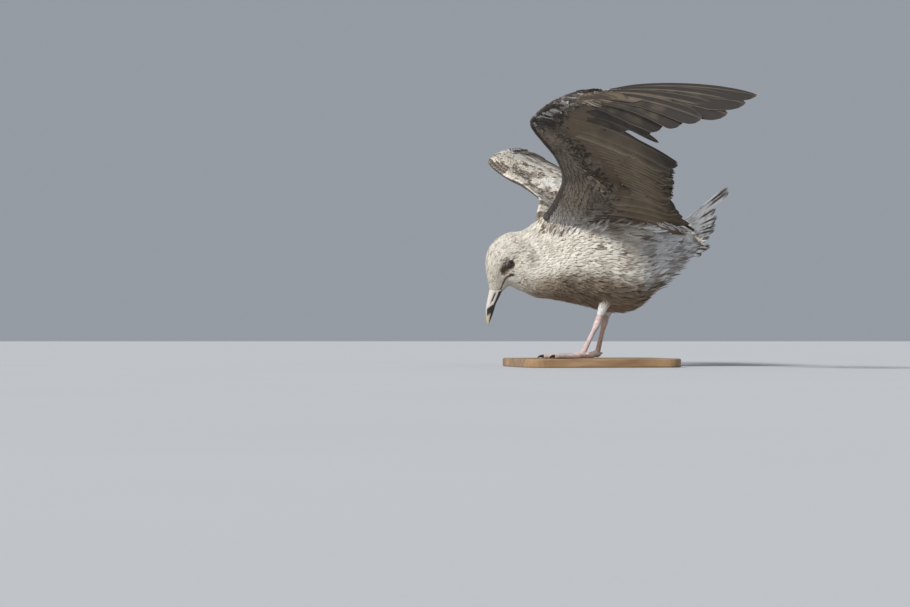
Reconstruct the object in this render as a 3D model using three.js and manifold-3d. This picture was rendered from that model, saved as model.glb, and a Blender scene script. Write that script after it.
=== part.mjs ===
// Immature herring gull, life size: a still display model, standing with both wings raised.
// Millimetres, +Z up. The bird faces -X and its left side is -Y. The origin is under the middle
// of the base plate; the bird's own heights are measured from its soles.

import * as THREE from "three";
import { mergeVertices } from "three/addons/utils/BufferGeometryUtils.js";
import Module from "manifold-3d";

const wasm = await Module();
wasm.setup();

// ---------------------------------------------------------------- driving dimensions

const gap = 0.3; // clearance between neighbouring pieces

const base = { length: 220, width: 200, thickness: 12, corner: 28, bevel: 1.5 };

// Stations of the body from the bill to the rump: where the top and the bottom of the
// outline lie in the median plane [x, z], and the half width there.
const bodyStations = [
  { top: [-143, 95], bottom: [-124, 93], half: 7 }, // base of the bill
  { top: [-147, 115], bottom: [-117, 100], half: 12 }, // lores
  { top: [-149, 133], bottom: [-113, 100], half: 16.5 }, // forehead
  { top: [-145, 151], bottom: [-109, 98], half: 19 },
  { top: [-133, 166], bottom: [-103, 95], half: 20.5 }, // eyes
  { top: [-116, 175], bottom: [-93, 91], half: 23 }, // nape
  { top: [-97, 178], bottom: [-77, 84], half: 28 }, // neck
  { top: [-74, 193], bottom: [-57, 82], half: 39 },
  { top: [-49, 207], bottom: [-36, 78], half: 53 }, // breast
  { top: [-14, 217], bottom: [-7, 72], half: 62 },
  { top: [22, 222], bottom: [25, 64], half: 64 }, // belly
  { top: [58, 218], bottom: [58, 65], half: 59 },
  { top: [87, 210], bottom: [84, 84], half: 48 }, // vent
  { top: [113, 200], bottom: [107, 110], half: 36 },
  { top: [134, 189], bottom: [131, 135], half: 24 }, // tail coverts
  { top: [146, 176], bottom: [145, 152], half: 10 },
];
const headEnd = 4.7; // station where the head meets the neck
const neckEnd = 6.9; // station where the neck meets the trunk
const stationGap = 0.018; // half the gap between them, in stations
const bodyFullness = 0.92; // 1 is an ellipse, less is squarer

// Bill, in the median plane: culmen, gape line and lower edge, from base to tip.
const culmen = [[-143.4, 94.5], [-146.3, 81], [-148.2, 70], [-148.3, 59], [-147, 50.5], [-144.6, 45.3]];
const gapeLine = [[-127.4, 94], [-132.3, 82.6], [-136.6, 74], [-140.2, 64], [-142.8, 55.5], [-143.6, 49]];
const billUnder = [
  [-123.8, 96], [-129.9, 84.6], [-134.3, 75.6], [-137.2, 65.8], [-140.8, 55.5], [-143.4, 49.4],
];
const billHalfWidths = [6.8, 6.2, 5.4, 4.4, 3, 1.2];

const eyeRadius = 6.3;
const eyeCentre = [-117.5, 16.4, 130];

// Columns of the wing from the shoulder to the outermost primary: the leading edge, the line
// of the bones and the feather tips [x, distance from the median plane, z], then half the
// thickness on the bone line.
const wingColumns = [
  { lead: [-74, 20, 194], bone: [-41, 28, 183], tip: [132, 46, 175], half: 11 }, // shoulder
  { lead: [-67, 48, 209], bone: [-25, 80, 203], tip: [136, 60, 177], half: 10 },
  { lead: [-62, 88, 234], bone: [-13, 133, 224], tip: [104, 95, 197], half: 8.5 }, // elbow
  { lead: [-67, 112, 250], bone: [-36, 143, 248], tip: [86, 130, 209], half: 7.5 },
  { lead: [-81, 132, 269], bone: [-61, 151, 271], tip: [73, 170, 221], half: 7 },
  { lead: [-101, 152, 286], bone: [-86, 159, 292], tip: [64, 212, 234], half: 6.5 },
  { lead: [-121, 166, 308], bone: [-109, 166, 312], tip: [55, 240, 242], half: 6 }, // wrist
  { lead: [-117, 182, 320], bone: [-102, 186, 323], tip: [49, 270, 250], half: 5.5 },
  { lead: [-102, 202, 332], bone: [-90, 205, 332], tip: [-2, 330, 286], half: 5 },
  { lead: [-79, 224, 342], bone: [-72, 225, 338], tip: [18, 425, 287], half: 4 },
  { lead: [-63, 237, 344], bone: [-59, 236, 341], tip: [50, 470, 291], half: 3.2 },
  { lead: [-51, 246, 344], bone: [-48, 244, 342], tip: [65, 492, 301], half: 2.6 }, // finger
  { lead: [-46, 249, 344], bone: [-43, 247, 343], tip: [76, 505, 310], half: 2 },
];
const wrist = 6; // column of the wrist
const lastColumn = wingColumns.length - 1;
const armCamber = 9; // how far the blade of the arm bows up between bone and tip
const handBow = 9; // how far the primaries bow upward in their own plane
const heldColumn = 9; // outside it the wing's faces keep one heading
const featherHalf = 0.6; // half the thickness of the feathers at their tips
const covertReach = 0.34; // share of the chord that the flesh and coverts take
const secondaryCount = 18;
const tertialCount = 5;
const secondaryNotch = 0.05;
const primaryTips = [6.3, 7, 7.6, 8, 8.45, 8.85, 9.3, 10, 11, 12]; // columns of their tips
const primaryNotch = 0.04;
const moultCleft = { after: 2, share: 0.74 }; // the gap left by a shed primary

// The right wing is held a little lower and further back, with its trailing edge raised.
const farWing = { droop: 31.5, droopFrom: 40, droopTo: 230, back: 9, lift: 58 };

// Tail: the fan's root, its own axes and each feather's angle and length.
const tailRoot = [100, 0, 160];
const tailPitch = 24; // degrees up
const tailRoll = 41; // degrees, left edge up
const tailFeathers = [
  { angle: 27, length: 127 }, { angle: 24, length: 124 },
  { angle: 15.5, length: 96 }, { angle: 12, length: 94 },
  { angle: 3.5, length: 95 }, { angle: -1, length: 92 },
  { angle: -9, length: 94 }, { angle: -13, length: 92 },
  { angle: -22, length: 88 }, { angle: -34, length: 99 },
  { angle: -37, length: 96 }, { angle: -43, length: 92 },
];
const closeFeathers = 5; // degrees; feathers closer than this lie together
const tailClefts = { close: 0.96, open: 0.76 };
const tailRootShare = 0.1;
const tailRootHalf = 5; // half the thickness at the root

// Legs, with y outward: where the drumstick starts, where its feathers end, ankle, toe joint.
const legs = {
  left: { side: -1, hip: [20, 30, 92], hem: [8, 29, 62], ankle: [3, 28, 47], joint: [-24, 60, 9] },
  right: { side: 1, hip: [42, 30, 92], hem: [31, 29, 59], ankle: [28, 28, 50], joint: [26, 60, 9] },
};
const thighRadii = [17, 17, 13, 7.5];
const shankRadius = 3.3;
const ankleRadius = 5;
const shankClearance = 0.9; // between the shank and the hole in the foot that it stands in
const toes = [
  { name: "inner", turn: -24, length: 47 },
  { name: "middle", turn: 0, length: 58 },
  { name: "outer", turn: 22, length: 52 },
];
const toeRadii = [4.4, 3.4, 3.4, 2.6];
const toeCentreHeight = 2.9; // a little under the radii, so the toes have flat soles
const toeRise = 3.5; // how much higher the toes start, at the heel
const heelRise = 2.4;
const webThickness = 1.8;
const webReach = [0.95, 0.8]; // how far out the web runs, along the toes and between them
const clawLength = 9;
const clawRadius = 1.9;
const clawDrop = 1.6; // how far a claw's point bends down
const clawPoint = 0.45; // its radius
const hallux = { turn: 150, length: 9, radii: [2.6, 1.6] };

// ---------------------------------------------------------------- colours

const material = (color, roughness) =>
  new THREE.MeshStandardMaterial({ color, roughness, metalness: 0 });
const paleFeather = material(0xd9d0c2, 0.9);
const brownFeather = material(0x8a7a6b, 0.85);
const darkFeather = material(0x5f5347, 0.8);
const bareSkin = material(0xd9a79a, 0.6);
const horn = material(0xb9a58c, 0.45);
const darkHorn = material(0x2e2926, 0.4);
const eyeGlass = material(0x1c1410, 0.1);
const wood = material(0xb08a5e, 0.5);

// ---------------------------------------------------------------- small tools

const radians = THREE.MathUtils.degToRad;

// Smooth curve through a list of numbers or points, at any place between the first and the last.
function spline(values, place) {
  const last = values.length - 1;
  const start = Math.min(Math.floor(place), last - 1);
  const t = place - start;
  const at = (i) => values[THREE.MathUtils.clamp(i, 0, last)];
  const blend = (a, b, c, d) =>
    0.5 * (2 * b + (c - a) * t + (2 * a - 5 * b + 4 * c - d) * t * t + (3 * b - a - 3 * c + d) * t ** 3);
  const four = [at(start - 1), at(start), at(start + 1), at(start + 2)];
  if (typeof values[0] === "number") {
    return blend(...four);
  }
  return values[0].map((_, axis) => blend(...four.map((point) => point[axis])));
}

const lerp = (a, b, t) => a.map((value, axis) => value + (b[axis] - value) * t);
const vector = (point) => new THREE.Vector3(...point);
const steps = (from, to, count) =>
  Array.from({ length: count + 1 }, (_, i) => from + ((to - from) * i) / count);

// Closed body through rings of equal, even length. Each ring is symmetrical about its first
// edge, so an end is closed by a ladder between its two sides.
function loft(rings) {
  const count = rings[0].length;
  const faces = [];
  const quad = (a, b, c, d) => faces.push(a, b, c, a, c, d);
  for (let ring = 0; ring < rings.length - 1; ring++) {
    for (let i = 0; i < count; i++) {
      const next = (i + 1) % count;
      const base = ring * count;
      quad(base + i, base + next, base + count + next, base + count + i);
    }
  }
  const end = (rings.length - 1) * count;
  for (let i = 0; i < count / 2 - 1; i++) {
    const across = count - 1 - i;
    quad(across, across - 1, i + 1, i);
    quad(end + i, end + i + 1, end + across - 1, end + across);
  }
  const geometry = new THREE.BufferGeometry();
  geometry.setAttribute("position", new THREE.Float32BufferAttribute(rings.flat(2), 3));
  geometry.setIndex(faces);
  return outward(mergeVertices(geometry, 1e-3));
}

// Turns the faces of a closed geometry outward, going by the sign of its volume.
function outward(geometry) {
  const { position } = geometry.attributes;
  const index = geometry.index.array;
  const [a, b, c] = [new THREE.Vector3(), new THREE.Vector3(), new THREE.Vector3()];
  let volume = 0;
  for (let i = 0; i < index.length; i += 3) {
    [a, b, c].forEach((corner, k) => corner.fromBufferAttribute(position, index[i + k]));
    volume += a.dot(b.cross(c));
  }
  if (volume < 0) {
    geometry.setIndex(Array.from(index).reverse());
  }
  return geometry;
}

function toSolid(geometry) {
  const bare = new THREE.BufferGeometry();
  bare.setAttribute("position", geometry.attributes.position);
  bare.setIndex(geometry.index);
  const merged = mergeVertices(bare, 1e-3);
  const vertProperties = new Float32Array(merged.attributes.position.array);
  const triVerts = new Uint32Array(merged.index.array);
  return new wasm.Manifold(new wasm.Mesh({ numProp: 3, vertProperties, triVerts }));
}

function toGeometry(solid) {
  const { vertProperties, triVerts } = solid.getMesh();
  const geometry = new THREE.BufferGeometry();
  geometry.setAttribute("position", new THREE.Float32BufferAttribute(vertProperties, 3));
  geometry.setIndex(Array.from(triVerts));
  return geometry;
}

// Cuts tools from a body and keeps the largest piece, without the slivers a cut can leave.
function cut(geometry, ...tools) {
  const rest = tools.reduce((solid, tool) => solid.subtract(toSolid(tool)), toSolid(geometry));
  const pieces = rest.decompose();
  return toGeometry(pieces.reduce((best, piece) => (piece.volume() > best.volume() ? piece : best)));
}

const join = (...pieces) =>
  toGeometry(pieces.slice(1).reduce((solid, piece) => solid.add(toSolid(piece)), toSolid(pieces[0])));

// Round or oval tube along a list of points. Radii are spread evenly over the points, and
// squash is the share of the width that the height has.
function tube(points, radii, sides, across, squash = 1) {
  const path = new THREE.CatmullRomCurve3(points.map(vector));
  const count = (radii.length - 1) * 2;
  return loft(steps(0, 1, count).map((t) => {
    const centre = path.getPoint(t);
    const ahead = path.getTangent(t);
    const wide = vector(across).addScaledVector(ahead, -ahead.dot(vector(across))).normalize();
    const high = new THREE.Vector3().crossVectors(ahead, wide).multiplyScalar(squash);
    const radius = spline(radii, t * (radii.length - 1));
    return steps(0.5, sides - 0.5, sides - 1).map((i) => {
      const angle = (i * 2 * Math.PI) / sides;
      return centre.clone()
        .addScaledVector(wide, radius * Math.sin(angle))
        .addScaledVector(high, radius * Math.cos(angle))
        .toArray();
    });
  }));
}

// ---------------------------------------------------------------- head, neck and trunk

const power = (value, exponent) => Math.sign(value) * Math.abs(value) ** exponent;

// Ring round the body at one station, swollen by grow.
function bodyRing(station, sides, grow) {
  const [top, bottom] = ["top", "bottom"].map((edge) => spline(bodyStations.map((row) => row[edge]), station));
  const half = spline(bodyStations.map((row) => row.half), station) + grow;
  const middle = lerp(bottom, top, 0.5);
  const up = new THREE.Vector2(top[0] - middle[0], top[1] - middle[1]);
  up.setLength(up.length() + grow);
  return steps(0.5, sides - 0.5, sides - 1).map((i) => {
    const angle = (i * 2 * Math.PI) / sides;
    const rise = power(Math.cos(angle), bodyFullness);
    const side = power(Math.sin(angle), bodyFullness);
    return [middle[0] + up.x * rise, half * side, middle[1] + up.y * rise];
  });
}

const bodyLength = (from, to, count, sides, grow = 0) =>
  loft(steps(from, to, count).map((station) => bodyRing(station, sides, grow)));

const sphere = (radius, centre, widthSegments, heightSegments) =>
  new THREE.SphereGeometry(radius, widthSegments, heightSegments).rotateX(Math.PI / 2).translate(...centre);

const lastStation = bodyStations.length - 1;
const trunk = bodyLength(neckEnd + stationGap, lastStation, 15, 20);
const trunkTool = bodyLength(neckEnd, lastStation, 15, 20, gap);
const neck = bodyLength(headEnd + stationGap, neckEnd - stationGap, 5, 20);
const neckTool = bodyLength(headEnd, neckEnd, 5, 20, gap);
const eyePlace = (side) => [eyeCentre[0], side * eyeCentre[1], eyeCentre[2]];
const head = cut(
  bodyLength(0.02, headEnd - stationGap, 10, 20),
  ...[-1, 1].map((side) => sphere(eyeRadius + gap, eyePlace(side), 12, 6)),
);

// Half of the bill between two edges of its outline. The ridge is narrower than the cutting edge.
function billHalf(outer, inner, ridge) {
  const last = outer.length - 1;
  return loft(steps(0, last, last * 2).map((place) => {
    const edge = spline(outer, place);
    const cutting = spline(inner, place);
    const clear = lerp(cutting, edge, 0.5 * gap / Math.hypot(edge[0] - cutting[0], edge[1] - cutting[1]));
    const half = spline(billHalfWidths, place);
    const side = (share, width) => {
      const [x, z] = lerp(clear, edge, share);
      return [x, width * half, z];
    };
    const right = [side(0, 0.96), side(0.35, 1), side(0.72, 0.8), side(1, ridge)];
    return [...right, ...right.toReversed().map(([x, y, z]) => [x, -y, z])];
  }));
}

const clearOfHead = bodyLength(0, headEnd, 11, 20, gap);
const billUpper = cut(billHalf(culmen, gapeLine, 0.3), clearOfHead);
const billLower = cut(billHalf(billUnder, gapeLine, 0.35), clearOfHead);

// ---------------------------------------------------------------- wings

const column = (key, place) => spline(wingColumns.map((row) => row[key]), place);

const shoulderY = wingColumns[0].lead[1];
const elbowY = 100;

// Point of the wing between its stations: -1 is the leading edge, 0 the bones and 1 the feather
// tips. Y is still measured outward.
function wingChord(place, chord, side) {
  const bone = column("bone", place);
  const [x, y, z] = lerp(bone, column(chord < 0 ? "lead" : "tip", place), Math.abs(chord));
  if (side < 0) {
    return [x, y, z];
  }
  const lift = farWing.lift * Math.sin((Math.PI * place) / lastColumn) * Math.max(chord, 0);
  const droop = farWing.droop * THREE.MathUtils.smoothstep(y, farWing.droopFrom, farWing.droopTo);
  return [x + farWing.back * THREE.MathUtils.smoothstep(y, shoulderY, elbowY), y, z + lift - droop];
}

// Direction of the wing's upper side at a column. Past the held column, where the bones run close
// to the line of the feathers, the wing's faces keep one heading.
function wingNormal(at, side) {
  const step = 0.05;
  const place = Math.min(at, heldColumn);
  const [before, after] = [Math.max(place - step, 0), place + step];
  const along = vector(wingChord(after, 0.4, side)).sub(vector(wingChord(before, 0.4, side)));
  const back = vector(wingChord(place, 1, side)).sub(vector(wingChord(place, 0, side)));
  return new THREE.Vector3().crossVectors(back, along).normalize();
}

// Middle surface of the wing, bowed between the bones and the feather tips.
function wingPoint(place, chord, side, normal) {
  const bow = chord > 0 ? 4 * chord * (1 - chord) : 0;
  const hand = THREE.MathUtils.smoothstep(place, wrist - 1, wrist + 2);
  return vector(wingChord(place, chord, side))
    .addScaledVector(normal, armCamber * (1 - hand) * bow)
    .add(new THREE.Vector3(0, 0, handBow * hand * bow));
}

// Half the thickness: a rounded leading edge, then a wedge that thins to the feathers.
function wingHalf(place, chord) {
  const core = column("half", place);
  if (chord < 0) {
    return Math.max(core * Math.sqrt(1 - chord * chord), featherHalf);
  }
  const wedge = Math.max(1 - chord / (covertReach * 1.6), 0);
  return featherHalf + (core - featherHalf) * wedge ** 1.5;
}

function wingRing(side, place, chords, tipShare = 1, grow = 0) {
  const normal = wingNormal(place, side);
  const faces = [1, -1].map((face) => chords.map((chord) => {
    const at = chord > covertReach ? covertReach + (chord - covertReach) * tipShare : chord;
    const half = wingHalf(place, at) + grow;
    const point = wingPoint(place, at, side, normal).addScaledVector(normal, face * half);
    return [point.x, side * point.y, point.z];
  }));
  return [...faces[0], ...faces[1].reverse()];
}

const chordGap = 0.0016; // half the gap between the flesh and the feathers, in chords
const columnGap = 0.012; // half the gap at the wrist, in columns
const fleshChords = [-1, -0.86, -0.5, 0, 0.16, covertReach - chordGap];
const toolChords = [...fleshChords.slice(0, -1), covertReach + chordGap];
const bladeChords = [covertReach - 0.01, 0.55, 0.8, 1];

// Columns across a row of feathers: each feather steps in from its neighbour and runs out to its tip.
const notched = (edges, tips, notch, cleft) => [
  ...tips.flatMap((tip, i) => [
    { place: edges[i], share: i === cleft.after ? cleft.share : 1 - notch },
    { place: edges[i] + 0.65 * (Math.min(tip, edges[i + 1]) - edges[i]), share: 1 },
  ]),
  { place: edges[tips.length], share: 1 },
];

const edgesBetween = (first, tips, last) =>
  [first, ...tips.slice(1).map((tip, i) => (tip + tips[i]) / 2), last];

const armTips = [
  ...steps(0.15, 1.7, tertialCount - 1),
  ...steps(2.05, wrist - 0.15, secondaryCount - 1),
];
const armEdges = edgesBetween(0, armTips, wrist - columnGap);
const primaryEdges = edgesBetween(wrist + columnGap, primaryTips, lastColumn);

const flesh = (side, from, to, count, chords, grow = 0) =>
  loft(steps(from, to, count).map((place) => wingRing(side, place, chords, 1, grow)));

// A row of flight feathers, cut back to a thin gap from the flesh that carries it.
const blade = (side, edges, tips, notch, count, cleft = {}) => cut(
  loft(notched(edges, tips, notch, cleft).map(({ place, share }) => wingRing(side, place, bladeChords, share))),
  flesh(side, edges[0], edges[tips.length], count, toolChords, gap),
);

const [armColumns, handColumns] = [10, 9];
const wingPieces = {
  arm: (side) => flesh(side, 0, wrist - columnGap, armColumns, fleshChords),
  secondaries: (side) => blade(side, armEdges, armTips, secondaryNotch, armColumns),
  hand: (side) => flesh(side, wrist + columnGap, lastColumn, handColumns, fleshChords),
  primaries: (side) => blade(side, primaryEdges, primaryTips, primaryNotch, handColumns, moultCleft),
};

// ---------------------------------------------------------------- tail

const tailAxis = new THREE.Vector3(Math.cos(radians(tailPitch)), 0, Math.sin(radians(tailPitch)));
const tailAcross = new THREE.Vector3(0, -1, 0).applyAxisAngle(tailAxis, -radians(tailRoll));
const tailFace = new THREE.Vector3().crossVectors(tailAxis, tailAcross);

function tailRing(angle, reach) {
  const ahead = tailAxis.clone().multiplyScalar(Math.cos(radians(angle)))
    .addScaledVector(tailAcross, Math.sin(radians(angle)));
  const faces = [1, -1].map((face) => [tailRootShare, 0.4, 0.7, 1].map((share) =>
    vector(tailRoot)
      .addScaledVector(ahead, share * reach)
      .addScaledVector(tailFace, face * THREE.MathUtils.lerp(tailRootHalf, featherHalf, Math.min(share * 1.3, 1)))
      .toArray()));
  return [...faces[0], ...faces[1].reverse()];
}

const tail = cut(
  loft(tailFeathers.flatMap(({ angle, length }, i) => {
    const next = tailFeathers[i + 1] ?? { angle: angle - 3, length: 0.9 * length };
    const cleft = angle - next.angle > closeFeathers ? tailClefts.open : tailClefts.close;
    return [
      tailRing(angle, length),
      tailRing((angle + next.angle) / 2, Math.min(length, next.length) * cleft),
    ];
  })),
  trunkTool,
);

// ---------------------------------------------------------------- legs and feet

const mirror = ([x, y, z], side) => [x, side * y, z];

function thigh({ side, hip, hem }) {
  const path = [lerp(hip, hem, -0.15), hip, lerp(hip, hem, 0.6), hem].map((point) => mirror(point, side));
  return cut(tube(path, thighRadii, 12, [1, 0, 0], 0.8), trunkTool);
}

function shank({ side, hem, ankle, joint }) {
  const path = [lerp(hem, ankle, 0.08), ankle, lerp(ankle, joint, 0.3), joint];
  const radii = [shankRadius, ankleRadius, shankRadius, shankRadius * 1.1];
  return tube(path.map((point) => mirror(point, side)), radii, 8, [1, 0, 0]);
}

// Direction of a toe over the floor: turn 0 points ahead, and more turns it outward.
const toeDirection = (turn, side) => [-Math.cos(radians(turn)), side * Math.sin(radians(turn)), 0];
const along = (from, direction, distance) => from.map((value, axis) => value + direction[axis] * distance);
const footTurn = 4;

function toePath({ turn, length }, { side, joint }) {
  const ahead = toeDirection(turn + footTurn, side);
  const root = mirror([joint[0], joint[1], toeCentreHeight + toeRise], side);
  const floorPoint = (distance) => {
    const point = along(root, ahead, distance);
    return [point[0], point[1], toeCentreHeight];
  };
  return [root, floorPoint(0.3 * length), floorPoint(0.65 * length), floorPoint(length)];
}

function web(first, second, leg) {
  const root = [leg.joint[0], leg.side * leg.joint[1]];
  const flat = (turn, distance) => {
    const ahead = toeDirection(turn + footTurn, leg.side);
    return new THREE.Vector2(root[0] + ahead[0] * distance, root[1] + ahead[1] * distance);
  };
  const middle = flat((first.turn + second.turn) / 2, webReach[1] * (first.length + second.length) / 2);
  const outline = new THREE.Shape([
    new THREE.Vector2(...root),
    flat(first.turn, webReach[0] * first.length),
    middle,
    flat(second.turn, webReach[0] * second.length),
  ]);
  return new THREE.ExtrudeGeometry(outline, { depth: webThickness, bevelEnabled: false });
}

function foot(leg) {
  const { side, joint } = leg;
  const heel = mirror([joint[0], joint[1], toeCentreHeight + heelRise], side);
  const back = along(heel, toeDirection(hallux.turn, side), hallux.length);
  const pieces = [
    sphere(ankleRadius, heel, 10, 6),
    ...toes.map((toe) => tube(toePath(toe, leg), toeRadii, 6, [0, 1, 0.001])),
    web(toes[0], toes[1], leg),
    web(toes[1], toes[2], leg),
    tube([heel, back], hallux.radii, 6, [0, 1, 0.001]),
  ];
  const floor = new THREE.BoxGeometry(base.length, base.width, base.thickness)
    .translate(0, 0, -base.thickness / 2);
  const footHole = shankRadius + shankClearance;
  return cut(join(...pieces), floor, tube(shankTool(leg), [footHole, footHole], 8, [1, 0, 0]));
}

// The stretch of the shank that the foot leaves free.
const shankTool = ({ side, ankle, joint }) =>
  [lerp(ankle, joint, 0.6), lerp(ankle, joint, 1.01)].map((point) => mirror(point, side));

function claw(root, ahead) {
  const base = along(root, ahead, gap);
  const path = [base, along(base, ahead, clawLength * 0.55), along(base, ahead, clawLength)];
  path[2][2] = Math.max(path[2][2] - clawDrop, clawPoint + 0.05);
  return tube(path, [clawRadius, clawRadius * 0.75, clawPoint], 6, [0, 1, 0.001]);
}

// ---------------------------------------------------------------- scene graph

const model = new THREE.Group();
const bird = new THREE.Group();
bird.position.z = base.thickness + gap;
model.add(bird);

function add(name, geometry, finish) {
  const mesh = new THREE.Mesh(geometry, finish.clone());
  mesh.name = name;
  bird.add(mesh);
}

add("trunk", trunk, paleFeather);
add("neck", neck, paleFeather);
add("head", head, paleFeather);
add("bill_upper", billUpper, horn);
add("bill_lower", billLower, darkHorn);
add("tail", tail, brownFeather);

for (const [sideName, leg] of Object.entries(legs)) {
  add(`eye_${sideName}`, sphere(eyeRadius, eyePlace(leg.side), 12, 6), eyeGlass);
  for (const [piece, make] of Object.entries(wingPieces)) {
    const finish = piece === "primaries" ? darkFeather : brownFeather;
    add(`wing_${sideName}_${piece}`, cut(make(leg.side), trunkTool, neckTool), finish);
  }
  add(`thigh_${sideName}`, thigh(leg), paleFeather);
  add(`shank_${sideName}`, cut(shank(leg), thigh(leg)), bareSkin);
  add(`foot_${sideName}`, foot(leg), bareSkin);
  for (const toe of toes) {
    const path = toePath(toe, leg);
    add(`claw_${sideName}_${toe.name}`, claw(path[3], toeDirection(toe.turn + footTurn, leg.side)), darkHorn);
  }
}

function basePlate({ length, width, thickness, corner, bevel }) {
  const [x, y] = [length / 2 - bevel, width / 2 - bevel];
  const outline = new THREE.Shape();
  const corners = [[x, y, 0], [-x, y, 1], [-x, -y, 2], [x, -y, 3]];
  for (const [cornerX, cornerY, quarter] of corners) {
    const start = (quarter * Math.PI) / 2;
    const centre = [cornerX - Math.sign(cornerX) * corner, cornerY - Math.sign(cornerY) * corner];
    outline.absarc(...centre, corner, start, start + Math.PI / 2);
  }
  return new THREE.ExtrudeGeometry(outline, {
    depth: thickness - 2 * bevel,
    bevelSize: bevel,
    bevelThickness: bevel,
    bevelSegments: 1,
    curveSegments: 3,
  }).translate(0, 0, bevel);
}

const plate = new THREE.Mesh(basePlate(base), wood);
plate.name = "stand_base";
model.add(plate);

export default model;
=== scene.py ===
import bpy
import numpy as np
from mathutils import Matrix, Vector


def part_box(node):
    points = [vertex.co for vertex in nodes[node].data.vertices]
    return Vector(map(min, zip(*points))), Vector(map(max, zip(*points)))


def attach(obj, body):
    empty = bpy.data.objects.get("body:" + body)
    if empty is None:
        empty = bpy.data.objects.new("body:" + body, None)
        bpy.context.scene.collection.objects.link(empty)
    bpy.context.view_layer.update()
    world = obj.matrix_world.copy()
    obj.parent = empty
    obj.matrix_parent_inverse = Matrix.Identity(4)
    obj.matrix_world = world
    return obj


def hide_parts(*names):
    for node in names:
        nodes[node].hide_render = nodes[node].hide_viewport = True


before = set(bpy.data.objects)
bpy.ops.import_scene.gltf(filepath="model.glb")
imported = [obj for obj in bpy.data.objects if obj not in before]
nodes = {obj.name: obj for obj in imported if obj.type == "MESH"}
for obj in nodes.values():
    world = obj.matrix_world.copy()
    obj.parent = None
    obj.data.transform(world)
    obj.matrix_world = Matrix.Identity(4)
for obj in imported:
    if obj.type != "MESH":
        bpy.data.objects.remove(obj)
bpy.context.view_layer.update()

# Immature herring gull, wings raised, head down. The tables are in millimetres and repeat the
# solids' own: x backwards, z up from the soles. The bird's left is -y, the side of the camera.
mm = 0.001
footGap = 0.3                             # between the base plate and the soles
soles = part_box("stand_base")[1].z / mm + footGap
rng = np.random.default_rng(41)
left, right = -1, 1

# ---- small tools


def smooth(x, low, high):  # 0 below low, 1 above high, an S curve between
    t = np.clip((x - low) / (high - low), 0, 1)
    return t * t * (3 - 2 * t)


def unit(v):
    return v / np.maximum(np.linalg.norm(v, axis=-1, keepdims=True), 1e-9)


def dot(a, b):
    return (a * b).sum(-1, keepdims=True)


def fullTurn(count):  # angles round a ring
    return np.linspace(0, 2 * np.pi, count, endpoint=False)


def pairs(a, b):  # every value of a with every value of b, as two tables
    return np.meshgrid(a, b, indexing="ij")


def forEach(table, key, count, default=0.0):  # a table's value for every feather
    return np.broadcast_to(np.asarray(table.get(key, default), float), (count,)).copy()


def mix(a, b, share):  # between two colours
    return a + (b - a) * np.asarray(share)[..., None]


def mix1(a, b, share):  # between two numbers
    return a + (b - a) * share


def hill(x, middle, spread):  # 1 in the middle, falling off as exp(-(distance over the spread)^2)
    return np.exp(-(((x - middle) / spread) ** 2))


def tint(*rgb):  # a screen colour, 0 to 255, as linear light
    c = np.array(rgb, float) / 255
    return np.where(c > 0.04045, ((c + 0.055) / 1.055) ** 2.4, c / 12.92)


# Smooth curve through the rows of a table: the cubic of the four rows round each place, with
# the first and last rows repeated past the ends.
def splineAt(values, place):
    values = np.asarray(values, float)
    last = len(values) - 1
    place = np.asarray(place, float)
    start = np.clip(np.floor(place).astype(int), 0, last - 1)
    t = place - start
    if values.ndim > 1:
        t = t[..., None]
    a, b, c, d = (values[np.clip(start + k, 0, last)] for k in (-1, 0, 1, 2))
    bend = (c - a) * t + (2 * a - 5 * b + 4 * c - d) * t**2 + (3 * b - a - 3 * c + d) * t**3
    return 0.5 * (2 * b + bend)


latticeSize = 24
lattice = np.random.default_rng(7).random((latticeSize,) * 3)


def cloud(points, size):  # soft blotches: random values on a lattice of that size, blended between
    p = np.asarray(points) / size
    low = np.floor(p).astype(int)
    f = smooth(p - low, 0, 1)
    total = 0
    for corner in np.ndindex(2, 2, 2):
        weight = np.prod(np.where(np.array(corner) == 1, f, 1 - f), -1)
        i, j, k = np.moveaxis((low + corner) % latticeSize, -1, 0)
        total = total + weight * lattice[i, j, k]
    return total


def spaced(line, low, high, gap, phase=0.0):  # places along a line of points at an even gap
    t = np.linspace(low, high, 400)
    run = np.concatenate([[0], np.cumsum(np.linalg.norm(np.diff(line(t), axis=0), axis=1))])
    count = max(int(run[-1] / gap), 1)
    return np.interp((np.arange(count) + phase) * run[-1] / count, run, t)


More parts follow.
